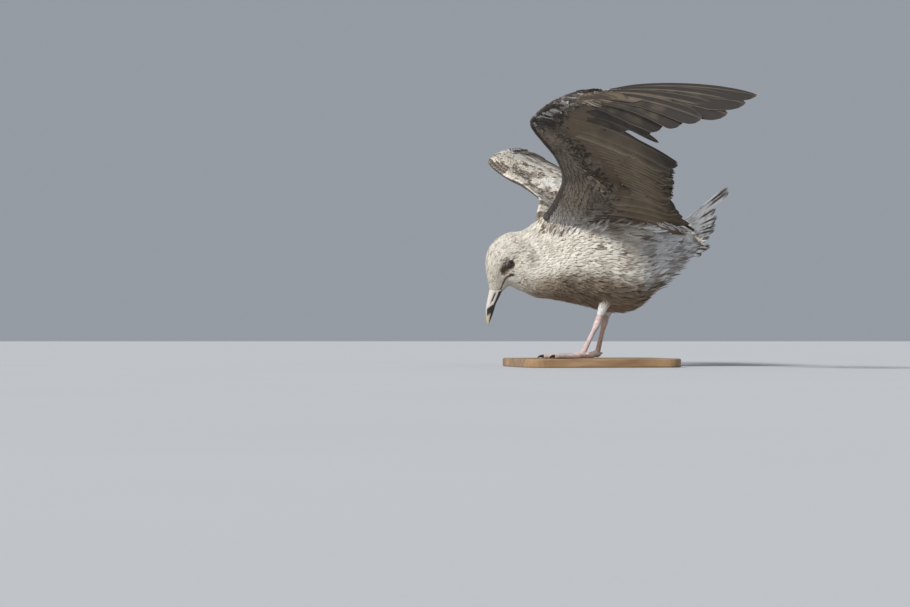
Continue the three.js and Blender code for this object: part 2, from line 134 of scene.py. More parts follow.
# Puts points, quads and triangles into a new mesh object. Colours are at the points, maps
# hold a uv for each point, and edges that join two rim points are sharp.
def buildPiece(name, points, quads, triangles=None, colours=None, maps=None, rim=None,
               materials=(), which=None):
    mesh = bpy.data.meshes.new(name)
    quads = np.asarray(quads, np.int32).reshape(-1, 4)
    triangles = np.zeros((0, 3), np.int32) if triangles is None else np.asarray(triangles, np.int32)
    corners = np.concatenate([quads.ravel(), triangles.ravel()])
    sizes = np.concatenate([np.full(len(quads), 4), np.full(len(triangles), 3)])
    mesh.vertices.add(len(points))
    mesh.vertices.foreach_set("co", (np.asarray(points) * mm).astype(np.float32).ravel())
    mesh.loops.add(len(corners))
    mesh.loops.foreach_set("vertex_index", corners)
    mesh.polygons.add(len(sizes))
    mesh.polygons.foreach_set("loop_start", (np.cumsum(sizes) - sizes).astype(np.int32))
    mesh.polygons.foreach_set("use_smooth", np.ones(len(sizes), bool))
    if which is not None:
        mesh.polygons.foreach_set("material_index", which.astype(np.int32))
    mesh.update(calc_edges=True)
    if rim is not None:
        ends = np.zeros(len(mesh.edges) * 2, np.int32)
        mesh.edges.foreach_get("vertices", ends)
        crease = mesh.attributes.new("sharp_edge", "BOOLEAN", "EDGE")
        crease.data.foreach_set("value", rim[ends.reshape(-1, 2)].all(1))
    if colours is not None:
        paint = mesh.color_attributes.new("plume", "FLOAT_COLOR", "POINT")
        rgba = np.concatenate([np.clip(colours, 0, 1), np.ones((len(points), 1))], 1)
        paint.data.foreach_set("color", rgba.astype(np.float32).ravel())
    for mapName, uv in (maps or {}).items():
        layer = mesh.uv_layers.new(name=mapName)
        layer.data.foreach_set("uv", uv[corners].astype(np.float32).ravel())
    for material in materials:
        mesh.materials.append(material)
    piece = bpy.data.objects.new(name, mesh)
    bpy.context.scene.collection.objects.link(piece)
    return piece


# Closed skin through rings of points (rings, around, 3), each end drawn to its middle point.
def loft(rings):
    count, around = rings.shape[:2]
    points = np.concatenate([rings.reshape(-1, 3), rings[0].mean(0)[None], rings[-1].mean(0)[None]])
    index = np.arange(count * around).reshape(count, around)
    turned = np.roll(index, -1, 1)
    quads = np.stack([index[:-1], turned[:-1], turned[1:], index[1:]], -1).reshape(-1, 4)
    cap = lambda near, far, hub: np.stack([near, far, np.full(around, hub)], -1)
    hub = count * around
    faces = np.concatenate([cap(turned[0], index[0], hub), cap(index[-1], turned[-1], hub + 1)])
    a, b, c = (points[quads[:, k]] for k in (0, 1, 2))
    if (a * np.cross(b, c)).sum() < 0:
        quads, faces = quads[:, ::-1], faces[:, ::-1]
    return points, quads, faces


def joinParts(parts):  # several (points, quads, triangles) as one
    points, quads, faces, start = [], [], [], 0
    for p, q, t in parts:
        points.append(p)
        quads.append(q + start)
        faces.append(t + start)
        start += len(p)
    return np.concatenate(points), np.concatenate(quads), np.concatenate(faces)


# Rings round a line: each ring is centre + across * r sin a + up * r squash cos a, square to the line.
def tubeRings(line, radii, around, across, squash=1.0):
    ahead = unit(np.gradient(line, axis=0))
    wide = unit(across - ahead * dot(ahead, np.asarray(across, float)))
    high = np.cross(ahead, wide)
    angle = fullTurn(around)
    r = np.asarray(radii)[:, None, None] if np.ndim(radii) == 1 else np.asarray(radii)[..., None]
    spokes = wide[:, None] * np.sin(angle)[:, None] + high[:, None] * squash * np.cos(angle)[:, None]
    return line[:, None] + r * spokes


# A lofted piece of its own, with a colour for each point of its rings.
def makeSolid(name, rings, colours, material, replaced):
    points, quads, faces = loft(rings)
    colours = colours.reshape(-1, 3)
    colours = np.concatenate([colours, colours[:1], colours[-1:]])
    piece = buildPiece(name, points, quads, faces, colours=colours, materials=[material])
    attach(piece, "root")
    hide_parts(replaced)


# ---- materials


def newMaterial(name, **sockets):
    material = bpy.data.materials.new(name)
    material.use_nodes = True
    shader = material.node_tree.nodes["Principled BSDF"]
    for socket, value in sockets.items():
        shader.inputs[socket.replace("_", " ")].default_value = value
    return material, shader


def addNode(material, kind, settings=None, **sockets):
    node = material.node_tree.nodes.new(kind)
    for key, value in (settings or {}).items():
        setattr(node, key, value)
    for key, value in sockets.items():
        numbered = key[0] == "i" and key[1:].isdigit()
        socket = node.inputs[int(key[1:]) if numbered else key.replace("_", " ")]
        if hasattr(value, "is_linked"):
            material.node_tree.links.new(value, socket)
        else:
            socket.default_value = value
    return node


def objectPlace(material):
    return addNode(material, "ShaderNodeTexCoord").outputs["Object"]


def addNoise(material, vector, size, **sockets):  # noise over that vector times the size
    run = addNode(material, "ShaderNodeMapping", Vector=vector, Scale=size)
    noise = addNode(material, "ShaderNodeTexNoise", Vector=run.outputs["Vector"], Scale=1.0, **sockets)
    return noise.outputs["Fac"]


# Colour times a grey of that range by the grain, which is the relief as well (strength, height).
def addGrain(material, shader, colour, grain, low, high, relief=None):
    level = addNode(material, "ShaderNodeMapRange", Value=grain, To_Min=low, To_Max=high)
    times = addNode(material, "ShaderNodeVectorMath", {"operation": "MULTIPLY"},
                    i0=colour, i1=level.outputs["Result"])
    material.node_tree.links.new(times.outputs["Vector"], shader.inputs["Base Color"])
    if relief:
        bump = addNode(material, "ShaderNodeBump", Strength=relief[0], Distance=relief[1], Height=grain)
        material.node_tree.links.new(bump.outputs["Normal"], shader.inputs["Normal"])


# A material with the colours painted on the points, and a grain made by a function of it.
def paintedMaterial(name, makeGrain, low, high, relief=None, **sockets):
    material, shader = newMaterial(name, **sockets)
    paint = addNode(material, "ShaderNodeAttribute", {"attribute_name": "plume"}).outputs["Color"]
    addGrain(material, shader, paint, makeGrain(material), low, high, relief)
    return material


# Streaks along the barbs of a vane. The map "vane" holds, in millimetres, how far along the
# feather a barb starts and how far out it has run.
def barbs(along, out):
    place = lambda material: addNode(material, "ShaderNodeUVMap", {"uv_map": "vane"}).outputs["UV"]
    return lambda material: addNoise(material, place(material), (along, out, 1), Detail=3.0, Roughness=0.6)


def grains(size, detail):  # noise over the object itself
    return lambda material: addNoise(material, objectPlace(material), size, Detail=detail)


def scutes(material):  # furrows between the cells of a leg's skin
    cells = addNode(material, "ShaderNodeTexVoronoi", {"feature": "DISTANCE_TO_EDGE"},
                    Vector=objectPlace(material), Scale=640.0)
    furrows = addNode(material, "ShaderNodeMapRange", Value=cells.outputs["Distance"], From_Max=0.12)
    return furrows.outputs["Result"]


barbRelief = 0.0006
bodyPlume = paintedMaterial("bodyPlume", barbs(1.1, 0.16), 0.72, 1.28, (0.5, barbRelief),
                            Roughness=0.85, Sheen_Weight=0.15)
wingPlume = paintedMaterial("wingPlume", barbs(1.0, 0.16), 0.76, 1.24, (0.4, barbRelief),
                            Roughness=0.8, Sheen_Weight=0.1)
flightVane = paintedMaterial("flightVane", barbs(0.9, 0.1), 0.8, 1.2, (0.35, barbRelief), Roughness=0.62)
skinPlume = paintedMaterial("skinPlume", grains((260, 260, 260), 3.0), 0.7, 1.2, (0.5, 0.001), Roughness=0.9)
legSkin = paintedMaterial("legSkin", scutes, 0.8, 1.04, (0.6, 0.0004),
                          Roughness=0.5, Subsurface_Weight=0.12, Subsurface_Scale=0.004)
hornCoat = paintedMaterial("hornCoat", grains((900, 900, 160), 4.0), 0.8, 1.15, (0.25, 0.0003),
                           Roughness=0.36, Coat_Weight=0.25, Coat_Roughness=0.25)
eyeGlass = paintedMaterial("eyeGlass", grains((900, 900, 900), 2.0), 0.7, 1.3,
                           Roughness=0.06, Coat_Weight=1.0, Coat_Roughness=0.02)

# ---- the body's surface

bodyRows = np.array([  # top x, top z, bottom x, bottom z, half width, from the bill to the rump
    (-143, 95, -124, 93, 7), (-147, 115, -117, 100, 12), (-149, 133, -113, 100, 16.5),
    (-145, 151, -109, 98, 19), (-133, 166, -103, 95, 20.5), (-116, 175, -93, 91, 23),
    (-97, 178, -77, 84, 28), (-74, 193, -57, 82, 39), (-49, 207, -36, 78, 53),
    (-14, 217, -7, 72, 62), (22, 222, 25, 64, 64), (58, 218, 58, 65, 59),
    (87, 210, 84, 84, 48), (113, 200, 107, 110, 36), (134, 189, 131, 135, 24),
    (146, 176, 145, 152, 10)], float)
lastStation = 15.0
fullness = 0.92                           # 1 is an ellipse, less is squarer

# Brow over the eye, hollow of the eye and lore, cheek: hills, in millimetres out from the plain
# outline.
faceHills = np.array([  # height, station, angle from the top, spread of each
    (1.5, 3.7, 1.22, 0.8, 0.2), (-1.5, 2.6, 1.62, 0.75, 0.16), (-0.8, 4.7, 1.5, 0.5, 0.14),
    (1.3, 3.7, 2.2, 0.8, 0.28), (0.8, 1.6, 1.15, 0.9, 0.3), (-0.7, 1.6, 1.95, 1.4, 0.07)])


def faceRelief(station, turn):
    height, atStation, atTurn, wide, high = faceHills.T
    return (height * hill(station[..., None], atStation, wide) * hill(turn[..., None], atTurn, high)).sum(-1)


def turnOf(angle):  # 0 on the back, pi under the belly, the same on both sides
    return np.abs((angle + np.pi) % (2 * np.pi) - np.pi)


# Point of the body: the middle of its outline at a station, plus the half height times the
# cosine and the half width times the sine of the angle from the top, each to the power of
# fullness. Depth goes inwards.
def bodyAt(station, angle, depth=0.0):
    row = splineAt(bodyRows, station)
    depth = depth - faceRelief(np.asarray(station, float), turnOf(angle))
    top, bottom, half = row[..., 0:2], row[..., 2:4], row[..., 4] - depth
    middle, up = (top + bottom) / 2, (top - bottom) / 2
    size = np.linalg.norm(up, axis=-1, keepdims=True)
    up = up * (size - np.asarray(depth)[..., None]) / size
    rise = np.sign(np.cos(angle)) * np.abs(np.cos(angle)) ** fullness
    side = np.sign(np.sin(angle)) * np.abs(np.sin(angle)) ** fullness
    x, z = middle[..., 0] + up[..., 0] * rise, middle[..., 1] + up[..., 1] * rise
    return np.stack([x, half * side, soles + z], -1)


# ---- the wings' surface

wingLead = np.array([  # x, distance from the median plane, z, from the shoulder to the last finger
    (-74, 20, 194), (-67, 48, 209), (-62, 88, 234), (-67, 112, 250), (-81, 132, 269), (-101, 152, 286),
    (-121, 166, 308), (-117, 182, 320), (-102, 202, 332), (-79, 224, 342), (-63, 237, 344),
    (-51, 246, 344), (-46, 249, 344)], float)
wingBone = np.array([
    (-41, 28, 183), (-25, 80, 203), (-13, 133, 224), (-36, 143, 248), (-61, 151, 271), (-86, 159, 292),
    (-109, 166, 312), (-102, 186, 323), (-90, 205, 332), (-72, 225, 338), (-59, 236, 341),
    (-48, 244, 342), (-43, 247, 343)], float)
wingTip = np.array([
    (132, 46, 175), (136, 60, 177), (104, 95, 197), (86, 130, 209), (73, 170, 221), (64, 212, 234),
    (55, 240, 242), (49, 270, 250), (-2, 330, 286), (18, 425, 287), (50, 470, 291),
    (65, 492, 301), (76, 505, 310)], float)
wingCore = np.array([11, 10, 8.5, 7.5, 7, 6.5, 6, 5.5, 5, 4, 3.2, 2.6, 2], float)
wingSet = dict(wrist=6.0, last=12.0, held=9.0, camber=9.0, bow=9.0, thin=0.6, reach=0.34,
               wedge=1.6, wedgePower=1.5, probe=0.05, probeChord=0.4, least=0.05,
               lift=58.0, droop=31.5, droopFrom=40.0, droopTo=230.0, back=9.0, backFrom=20.0, backTo=100.0)


# Point between the wing's lines: chord -1 is the leading edge, 0 the bones, 1 the feather tips.
# The right wing is lowered by an S curve of y, set back past the shoulder, and its trailing edge
# is raised by a sine of the place.
def wingChord(place, chord, side):
    bone = splineAt(wingBone, place)
    far = np.where((chord < 0)[..., None], splineAt(wingLead, place), splineAt(wingTip, place))
    p = bone + (far - bone) * np.abs(chord)[..., None]
    if side == right:
        y = p[..., 1]
        lift = wingSet["lift"] * np.sin(np.pi * place / wingSet["last"]) * np.maximum(chord, 0)
        droop = wingSet["droop"] * smooth(y, wingSet["droopFrom"], wingSet["droopTo"])
        back = wingSet["back"] * smooth(y, wingSet["backFrom"], wingSet["backTo"])
        p = p + np.stack([back, 0 * y, lift - droop], -1)
    return p


def wingHalf(place, chord):  # half thickness: a round leading edge, then a wedge to the feathers
    core, thin = splineAt(wingCore, place), wingSet["thin"]
    front = np.maximum(core * np.sqrt(1 - np.clip(chord, -1, 0) ** 2), thin)
    wedge = np.maximum(1 - chord / (wingSet["reach"] * wingSet["wedge"]), 0)
    return np.where(chord < 0, front, thin + (core - thin) * wedge ** wingSet["wedgePower"])


# Point on the wing's upper (face 1) or under side (-1): the point between the lines, bowed by
# 4 c (1 - c) along the normal on the arm and upward on the hand, then moved out by the half
# thickness less the depth. Face 0 is the middle surface. Past the held place the normal stays.
def wingAt(place, chord, side, face, depth=0.0):
    place, chord = np.broadcast_arrays(np.asarray(place, float), np.asarray(chord, float))
    held, probe = np.minimum(place, wingSet["held"]), wingSet["probe"]
    middle = np.full(place.shape, wingSet["probeChord"])
    along = wingChord(held + probe, middle, side) - wingChord(np.maximum(held - probe, 0), middle, side)
    back = wingChord(held, middle * 0 + 1, side) - wingChord(held, middle * 0, side)
    normal = unit(np.cross(back, along))
    bow = np.where(chord > 0, 4 * chord * (1 - chord), 0)
    hand = smooth(place, wingSet["wrist"] - 1, wingSet["wrist"] + 2)
    half = np.maximum(wingHalf(place, chord) - depth, wingSet["least"])
    out = wingSet["camber"] * (1 - hand) * bow + face * half
    p = wingChord(place, chord, side) + normal * out[..., None]
    p[..., 2] += wingSet["bow"] * hand * bow
    return p * np.array([1, side, 1]) + np.array([0, 0, soles])


# ---- markings and painted shade: how dark the plumage is at each place, for the skin and the coat alike

plumes = dict(
    cream=tint(236, 229, 214), white=tint(242, 241, 238), buff=tint(216, 201, 176), sand=tint(132, 115, 93),
    brown=tint(112, 92, 70), umber=tint(66, 52, 40), belly=tint(158, 142, 120), bellyDark=tint(84, 67, 50),
    underwing=tint(106, 89, 67), underDark=tint(46, 36, 27), vent=tint(228, 227, 225),
    ventDark=tint(124, 114, 103), flightPale=tint(144, 128, 105), flightDark=tint(36, 28, 20),
    quill=tint(176, 162, 142))
blotches = dict(crown=2.6, fine=4.5, coarse=12.0)  # sizes of the soft patches
# Soft dark patches: the brown in front of the wing is the plumage's own, the other three are painted shade.
bodyPatchesAndShade = (  # share of dark, station and turn of the middle, spread of each
    (0.26, 7.35, 1.1, 0.6, 0.22),         # brown in front of the wing
    (0.22, 4.4, 2.1, 0.8, 0.3),           # painted shade on the cheek
    (0.35, 4.6, 2.6, 1.6, 0.4),           # painted shade on the throat
    (0.3, 11.0, 1.5, 0.7, 0.25))          # painted shade on the flank under the wing


# Share of dark colour on the body, 0 to 1, from the station, the angle from the top and the place, with
# painted shade on the cheek, the throat and the flank under the wing.
def bodyMarkAndShade(station, angle, place):
    turn = turnOf(angle)
    fine, coarse = cloud(place, blotches["fine"]), cloud(place, blotches["coarse"])
    crown = 0.03 + 0.08 * smooth(turn, 1.9, 0.6) + 0.9 * (cloud(place, blotches["crown"]) - 0.5)
    mottle = 0.08 + 1.0 * (coarse - 0.5) + 0.4 * (fine - 0.5)
    mantle = 0.5 + 1.0 * (coarse - 0.5) + 0.3 * (fine - 0.5)
    flank = 0.1 + 2.2 * np.maximum(coarse - 0.58, 0) + 0.25 * (fine - 0.5)
    belly = 0.55 + 0.9 * (coarse - 0.5)
    rump = 0.2 + 1.6 * np.maximum(fine - 0.52, 0)
    trunk = mix1(mantle, flank, smooth(turn, 0.9, 1.25))
    lower = 0.2 * smooth(station, 9.5, 11)
    trunk = mix1(trunk, belly, smooth(turn, 1.75 + lower, 2.1 + lower))
    rear = smooth(station, 10.4, 11.6) * smooth(turn, 0.9, 1.2) * smooth(turn, 2.3, 2.0)
    trunk = mix1(trunk, 0.06 + 2.4 * np.maximum(coarse - 0.6, 0), rear)
    trunk = mix1(trunk, rump, smooth(station, 11.2, 12.2) * smooth(turn, 1.2, 0.9))
    mark = mix1(crown, mottle, smooth(station, 3.8, 5.2))
    mark = mix1(mark, trunk, smooth(station, 6.4, 7.6))
    # add the patches: the plumage's own brown and the painted shade alike
    for share, s, t, wide, high in bodyPatchesAndShade:
        mark = mark + share * hill(station, s, wide) * hill(turn, t, high)
    return np.clip(mark, 0, 1)


def bodyColours(station, angle):  # the pale and the dark that the mark runs between
    turn = turnOf(angle)
    rear = smooth(station, 10.3, 11.4) * smooth(turn, 0.8, 1.2) * smooth(turn, 2.4, 2.1)
    lower = 0.2 * smooth(station, 9.5, 11)
    # the belly's darker colours reach forward over the chest and throat: the belly's own brown, and painted
    # shade under the neck
    under = smooth(turn, 1.8 + lower, 2.2 + lower) * smooth(station, 3.6, 6.6) * smooth(station, 13.8, 12.4)
    pale = mix(mix(plumes["cream"], plumes["belly"], under), plumes["vent"], rear)
    dark = mix(plumes["brown"], plumes["umber"], 0.6 * smooth(turn, 1.2, 0.5) * smooth(station, 5, 7))
    dark = mix(mix(dark, plumes["bellyDark"], under), plumes["ventDark"], rear)
    return pale, dark


print("surfaces and materials ready")

# ---- feathers

# Index grids of a thin lens: rows by columns points above, and the inner ones again below.
def lensFaces(rows, columns):
    above = np.arange(rows * columns).reshape(rows, columns)
    below = above.copy()
    below[1:-1, 1:-1] = rows * columns + np.arange((rows - 2) * (columns - 2)).reshape(rows - 2, columns - 2)
    quad = lambda g: np.stack([g[:-1, :-1], g[:-1, 1:], g[1:, 1:], g[1:, :-1]], -1).reshape(-1, 4)
    rim = np.zeros((rows, columns), bool)
    rim[[0, -1]] = rim[:, [0, -1]] = True
    inner = np.zeros((rows - 2) * (columns - 2), bool)
    return np.concatenate([quad(above)[:, ::-1], quad(below)]), np.concatenate([rim.ravel(), inner])


# Every feather of a bed as a lens. Upper, colours and maps are (count, rows, columns, ...), and
# the under side is the upper one less the thickness along the normal.
def lensBed(upper, normal, thick, colours, vane, bake):
    count, rows, columns = upper.shape[:3]
    faces, rim = lensFaces(rows, columns)
    inner = (slice(None), slice(1, -1), slice(1, -1))
    flatten = lambda a: a.reshape(count, -1, a.shape[-1])
    pack = lambda a, b: np.concatenate([flatten(a), flatten(b)], 1)
    lower = upper - normal * thick[..., None]
    points = pack(upper, lower[inner])
    size = points.shape[1]
    quads = (faces[None] + np.arange(count)[:, None, None] * size).reshape(-1, 4)
    flat = lambda a: pack(a, a[inner]).reshape(count * size, -1)
    return dict(points=points.reshape(-1, 3), quads=quads, rim=np.tile(rim, count),
                colours=flat(colours), vane=flat(vane), bake=flat(bake))


# Steps over a surface from (u, v), along a heading kept flat to it or along flow, a mix of the
# directions of rising u and v. Past the surface's end it goes straight on. Gives points,
# normals and directions (rows, count, 3).
def walk(surface, sign, u, v, flow, heading, length, rows, ends):
    step, tiny, over = length / (rows - 1), 1e-3, np.zeros_like(u)
    points, normals, aheads = [], [], []
    for _ in range(rows):
        here = surface(u, v)
        du, dv = (surface(u + tiny, v) - here) / tiny, (surface(u, v + tiny) - here) / tiny
        normal = unit(np.cross(du, dv)) * sign
        if heading is None:
            ahead = unit(unit(du) * flow[0][:, None] + unit(dv) * flow[1][:, None])
        else:
            ahead = unit(heading - normal * dot(heading, normal))
        points.append(here + ahead * over[:, None])
        normals.append(normal)
        aheads.append(ahead)
        uu, uv, vv = dot(du, du)[:, 0], dot(du, dv)[:, 0], dot(dv, dv)[:, 0]
        au, av = dot(ahead, du)[:, 0], dot(ahead, dv)[:, 0]
        det = np.maximum(uu * vv - uv * uv, 1e-6)
        nu, nv = u + step * (au * vv - av * uv) / det, v + step * (av * uu - au * uv) / det
        out = (nu > ends[0][1]) | (nv > ends[1][1])
        over = over + np.where(out, step, 0)
        u, v = np.clip(nu, *ends[0]), np.clip(nv, *ends[1])
    return np.array(points), np.array(normals), np.array(aheads)


anyAngle = (-9, 99)                       # a surface without an end in this direction
vaneShape = dict(lengths=(0.85, 1.15), widths=(0.88, 1.12), root=0.3, fullAt=0.55, tipPower=2.4,
                 risePower=1.3, thinning=0.6, slant=1.1, patch=0.003)


# Feathers over a surface. Each has a path, a half width that swells from the root as a sine,
# a tip that falls back with a power of the distance from the shaft and is frayed, and a height
# from -depth at the root to stand at the tip. Its edges are lower by hug times the half width.
def growFeathers(surface, sign, u, v, bake, size, look, rows=6, columns=5, ends=(anyAngle, anyAngle)):
    count = len(u)
    full = lambda key, default=0.0: forEach(size, key, count, default)
    length = full("length") * rng.uniform(*vaneShape["lengths"], count)
    width = full("width") * rng.uniform(*vaneShape["widths"], count)
    turn = rng.normal(0, 1, count) * full("stray", 0.06)
    flow = (full("flowU", 0.0) + turn * full("flowV", 1.0), full("flowV", 1.0) - turn * full("flowU", 0.0))
    heading = size.get("heading")
    if heading is not None:
        heading = heading + turn[:, None] * np.cross(heading, [0, 0, 1.0])
    path, normal, ahead = walk(surface, sign, u.copy(), v.copy(), flow, heading, length, rows, ends)
    across = np.linspace(-1, 1, columns)
    along = np.linspace(0, 1, rows)
    fray = full("fray", 0.1)[:, None] * rng.random((count, columns))
    fray = fray + full("tip", 0.3)[:, None] * np.abs(across) ** vaneShape["tipPower"]
    reach = along[:, None, None] * (1 - fray)  # rows, count, columns
    index = np.minimum((reach * (rows - 1)).astype(int), rows - 2)
    part = (reach * (rows - 1) - index)[..., None]
    each = np.arange(count)[:, None]
    pick = lambda a: a[index, each] * (1 - part) + a[index + 1, each] * part
    centre, up, fore = pick(path), unit(pick(normal)), unit(pick(ahead))
    swell = np.sin(0.5 * np.pi * np.minimum(reach / vaneShape["fullAt"], 1))
    swell = vaneShape["root"] + (1 - vaneShape["root"]) * swell
    x = across * swell * width[:, None] * (1 - full("point", 0.15)[:, None] * reach**3)
    stand = full("stand") + rng.random(count) * full("ruffle", 0.5)
    height = -full("depth", 1.5)[:, None] * (1 - reach) ** vaneShape["risePower"] + stand[:, None] * reach**2
    height = height - full("hug", 0.18)[:, None] * width[:, None] * across**2
    upper = centre + np.cross(fore, up) * x[..., None] + up * height[..., None]
    thick = full("thick", 0.5)[:, None] * (1 - across**2) * (1 - vaneShape["thinning"] * reach)
    swap = lambda a: np.moveaxis(a, 0, 1)  # count, rows, columns
    upper, up, thick, reach, x = swap(upper), swap(up), swap(thick), swap(reach), swap(x)
    colours = paintVane(reach, np.broadcast_to(across, reach.shape), look, count)
    run = reach * length[:, None, None]
    apart = rng.integers(0, 200, count)[:, None, None] * 7.0 * np.sign(across + 1e-6)  # no two vanes alike
    vane = np.stack([run - vaneShape["slant"] * np.abs(x), np.abs(x) + apart], -1)
    patch = bake[:, None, None] + vaneShape["patch"] * np.stack([across * 0.5 + 0 * reach, reach], -1)
    return lensBed(upper, up, thick, colours, vane, patch)


# Colour of a vane at s along it and w across it: pale to dark by a mark, which is the feather's
# own tone, plus a spot at a place along it, plus a streak on the shaft, less a pale rim.
def paintVane(s, w, look, count):
    part = lambda key, default=0.0: forEach(look, key, count, default)[:, None, None]
    spot = hill(s, part("spotAt", 0.7), part("spotLong", 0.13)) * (1 - 0.6 * w**2)
    mark = part("tone") + part("spot") * spot
    mark = mark + part("shaft") * hill(w, 0, 0.35) * smooth(s, 0.2, 0.5) * (1 - smooth(s, 0.9, 1.0))
    mark = mark + part("root") * (1 - smooth(s, 0.45, 0.8))
    mark = mark - part("rim") * np.maximum(smooth(np.abs(w), 0.5, 1.0), smooth(s, 0.84, 1.0))
    pale = np.broadcast_to(look["pale"], (count, 3))[:, None, None]
    dark = np.broadcast_to(look["dark"], (count, 3))[:, None, None]
    light = rng.uniform(0.93, 1.07, (count, 1, 1, 1))
    return mix(pale + 0 * s[..., None], dark, np.clip(mark, 0, 1)) * light


def makeCoat(name, beds, material, replaced=()):
    start, quads = 0, []
    for bed in beds:
        quads.append(bed["quads"] + start)
        start += len(bed["points"])
    whole = lambda key: np.concatenate([bed[key] for bed in beds])
    piece = buildPiece(name, whole("points"), np.concatenate(quads), colours=whole("colours"),
                       rim=whole("rim"), maps={"vane": whole("vane"), "OFBake": whole("bake")},
                       materials=[material])
    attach(piece, "root")
    if replaced:
        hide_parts(*replaced)
    print(name, "feathers in", len(beds), "beds,", sum(len(q) for q in quads) * 2, "triangles")


# ---- eyes: place and opening, needed by the face's feathers

eyeSet = dict(
    centre=(-117.5, 16.4, 130.0), radius=6.3, opening=(4.6, 2.5), slant=(0.4, 0.92),
    lid=0.55, lidStep=3.2, lidEnd=3.2,    # thickness of the lid, its reach for each step of u, and the last u
    lidRows=(9, 34),                      # rows of tiny feathers, and how many in each
    clear=1.35,                           # the head's feathers start this far out
    rings=46, around=48, fit=0.985, cornea=0.45, corneaSpread=0.55,
    pupil=tint(12, 10, 9), iris=tint(64, 42, 26), white=tint(20, 16, 14))


def eyeCentre(side):
    x, y, z = eyeSet["centre"]
    return np.array([x, side * y, z + soles])


def eyeAxes(side):  # out of the head, along the opening and across it
    axis = unit(np.array([-0.1, side, 0.06]))
    slant = np.array([eyeSet["slant"][0], 0, eyeSet["slant"][1]])
    along = unit(slant - axis * dot(axis, slant))
    return axis, along, np.cross(axis, along)


def eyeReach(points, side):  # 1 on the rim of the opening, 2 at twice its size
    axis, along, across = eyeAxes(side)
    gone = points - eyeCentre(side)
    inside = dot(gone, axis)[:, 0] > 0
    p, q = dot(gone, along)[:, 0] / eyeSet["opening"][0], dot(gone, across)[:, 0] / eyeSet["opening"][1]
    return np.where(inside, np.hypot(p, q * 0.8), 9)


# Lid: the sphere of the eye made larger, from the opening's rim (u = 1) outwards. A point lies at
# u times the ellipse of the opening, laid along the sphere by the arc of that distance.
def lidAt(side, u, v, grow):
    axis, along, across = eyeAxes(side)
    p, q = eyeSet["opening"][0] * np.cos(v), eyeSet["opening"][1] * np.sin(v)
    edge = np.hypot(p, q)
    arc = (edge + (u - 1) * eyeSet["lidStep"]) / eyeSet["radius"]
    way = along * (p / edge)[..., None] + across * (q / edge)[..., None]
    forward, out = (eyeSet["radius"] + grow) * np.array([np.cos(arc), np.sin(arc)])
    return eyeCentre(side) + forward[..., None] * axis + out[..., None] * way


def lidBed(side):  # tiny feathers on the lids, lying up and back over the head
    rings, around = eyeSet["lidRows"]
    u, v = pairs(np.linspace(1.16, 2.3, rings), fullTurn(around))
    v = v + 0.09 * (np.arange(rings) % 2)[:, None]  # each row staggered on the last
    u, v = u.ravel(), v.ravel()
    surface = lambda a, b: lidAt(side, a, b, eyeSet["lid"] + 0.1)
    heading = np.tile(unit(np.array([0.3, side * 0.1, 0.95])), (len(u), 1))
    size = dict(length=2.8, width=0.5, depth=0.25, hug=0.05, heading=heading,
                ruffle=0.06, thick=0.12, fray=0.3)
    darker = 1.1 * hill(u, 1, 0.5) + 0.7 * smooth(-np.cos(v), 0.4, 0.95) + 0.35 * smooth(np.cos(v), 0.8, 1.0)
    pale, dark = mix(plumes["cream"], plumes["brown"], 0.25), mix(plumes["umber"], plumes["underDark"], 0.5)
    tone = np.clip(0.5 + 0.6 * darker + rng.normal(0, 0.04, len(u)), 0, 1)
    look = dict(pale=pale, dark=dark, tone=tone, root=0.1)
    bake = np.stack([0.26 + 0.01 * u, (0.25 if side == right else 0.75) + 0.006 * np.sin(v)], 1)
    ends = ((1, eyeSet["lidEnd"]), anyAngle)
    return growFeathers(surface, -side, u, v, bake, size, look, rows=4, columns=3, ends=ends)


# ---- body coat: rings of roots from the bill to the tail, each row staggered on the last

coat = dict(
    # by station: length, half width, depth of the roots, ruffle at the tip
    length=(3.2, 4.2, 5.4, 6.4, 7.6, 10, 12.5, 15, 18, 21, 24, 27, 30, 32, 33, 34),
    width=(0.7, 0.8, 0.95, 1.05, 1.2, 1.45, 1.8, 2.2, 2.6, 2.9, 3.1, 3.3, 3.6, 3.8, 4, 4),
    depth=(0.5, 0.7, 0.8, 1, 1.1, 1.5, 2, 2.5, 3, 3.5, 4, 4, 4, 4, 3.5, 3),
    ruffle=(0.12, 0.14, 0.18, 0.2, 0.25, 0.35, 0.5, 0.6, 0.75, 0.9, 1.1, 1.6, 2, 2, 1.6, 1.2),
    rowShare=0.3, columnShare=1.35)
coatParts = (  # name, first and last station, rows and columns of points on a feather
    ("coat_head", 0.0, 4.7, 4, 5), ("coat_neck", 4.7, 7.0, 5, 5), ("coat_breast", 7.0, 9.6, 5, 7),
    ("coat_flank", 9.6, 12.0, 5, 7), ("coat_rump", 12.0, 15.0, 5, 7))


def alongBody(first, last, angle):  # straight distance between two stations at one angle
    return np.linalg.norm(bodyAt(np.array(last), np.array(angle)) - bodyAt(np.array(first), np.array(angle)))


# Rings of roots: the next ring is a row's share of the feather's length further back along the side.
def bodyRoots(first, last):
    stations, angles, place, row = [], [], first, 0
    while place < last:
        length, width = splineAt(coat["length"], place), splineAt(coat["width"], place)
        line = lambda a: bodyAt(np.full(a.shape, place), a)
        ring = spaced(line, 0, 2 * np.pi, width * coat["columnShare"], 0.5 * (row % 2))
        stations.append(np.full(len(ring), place))
        angles.append(ring)
        ahead = alongBody(place, place + 0.01, 1.6) / 0.01
        place, row = place + length * coat["rowShare"] / ahead, row + 1
    stations, angles = np.concatenate(stations), np.concatenate(angles)
    return stations + rng.normal(0, 0.02, len(stations)), angles + rng.normal(0, 0.01, len(angles))
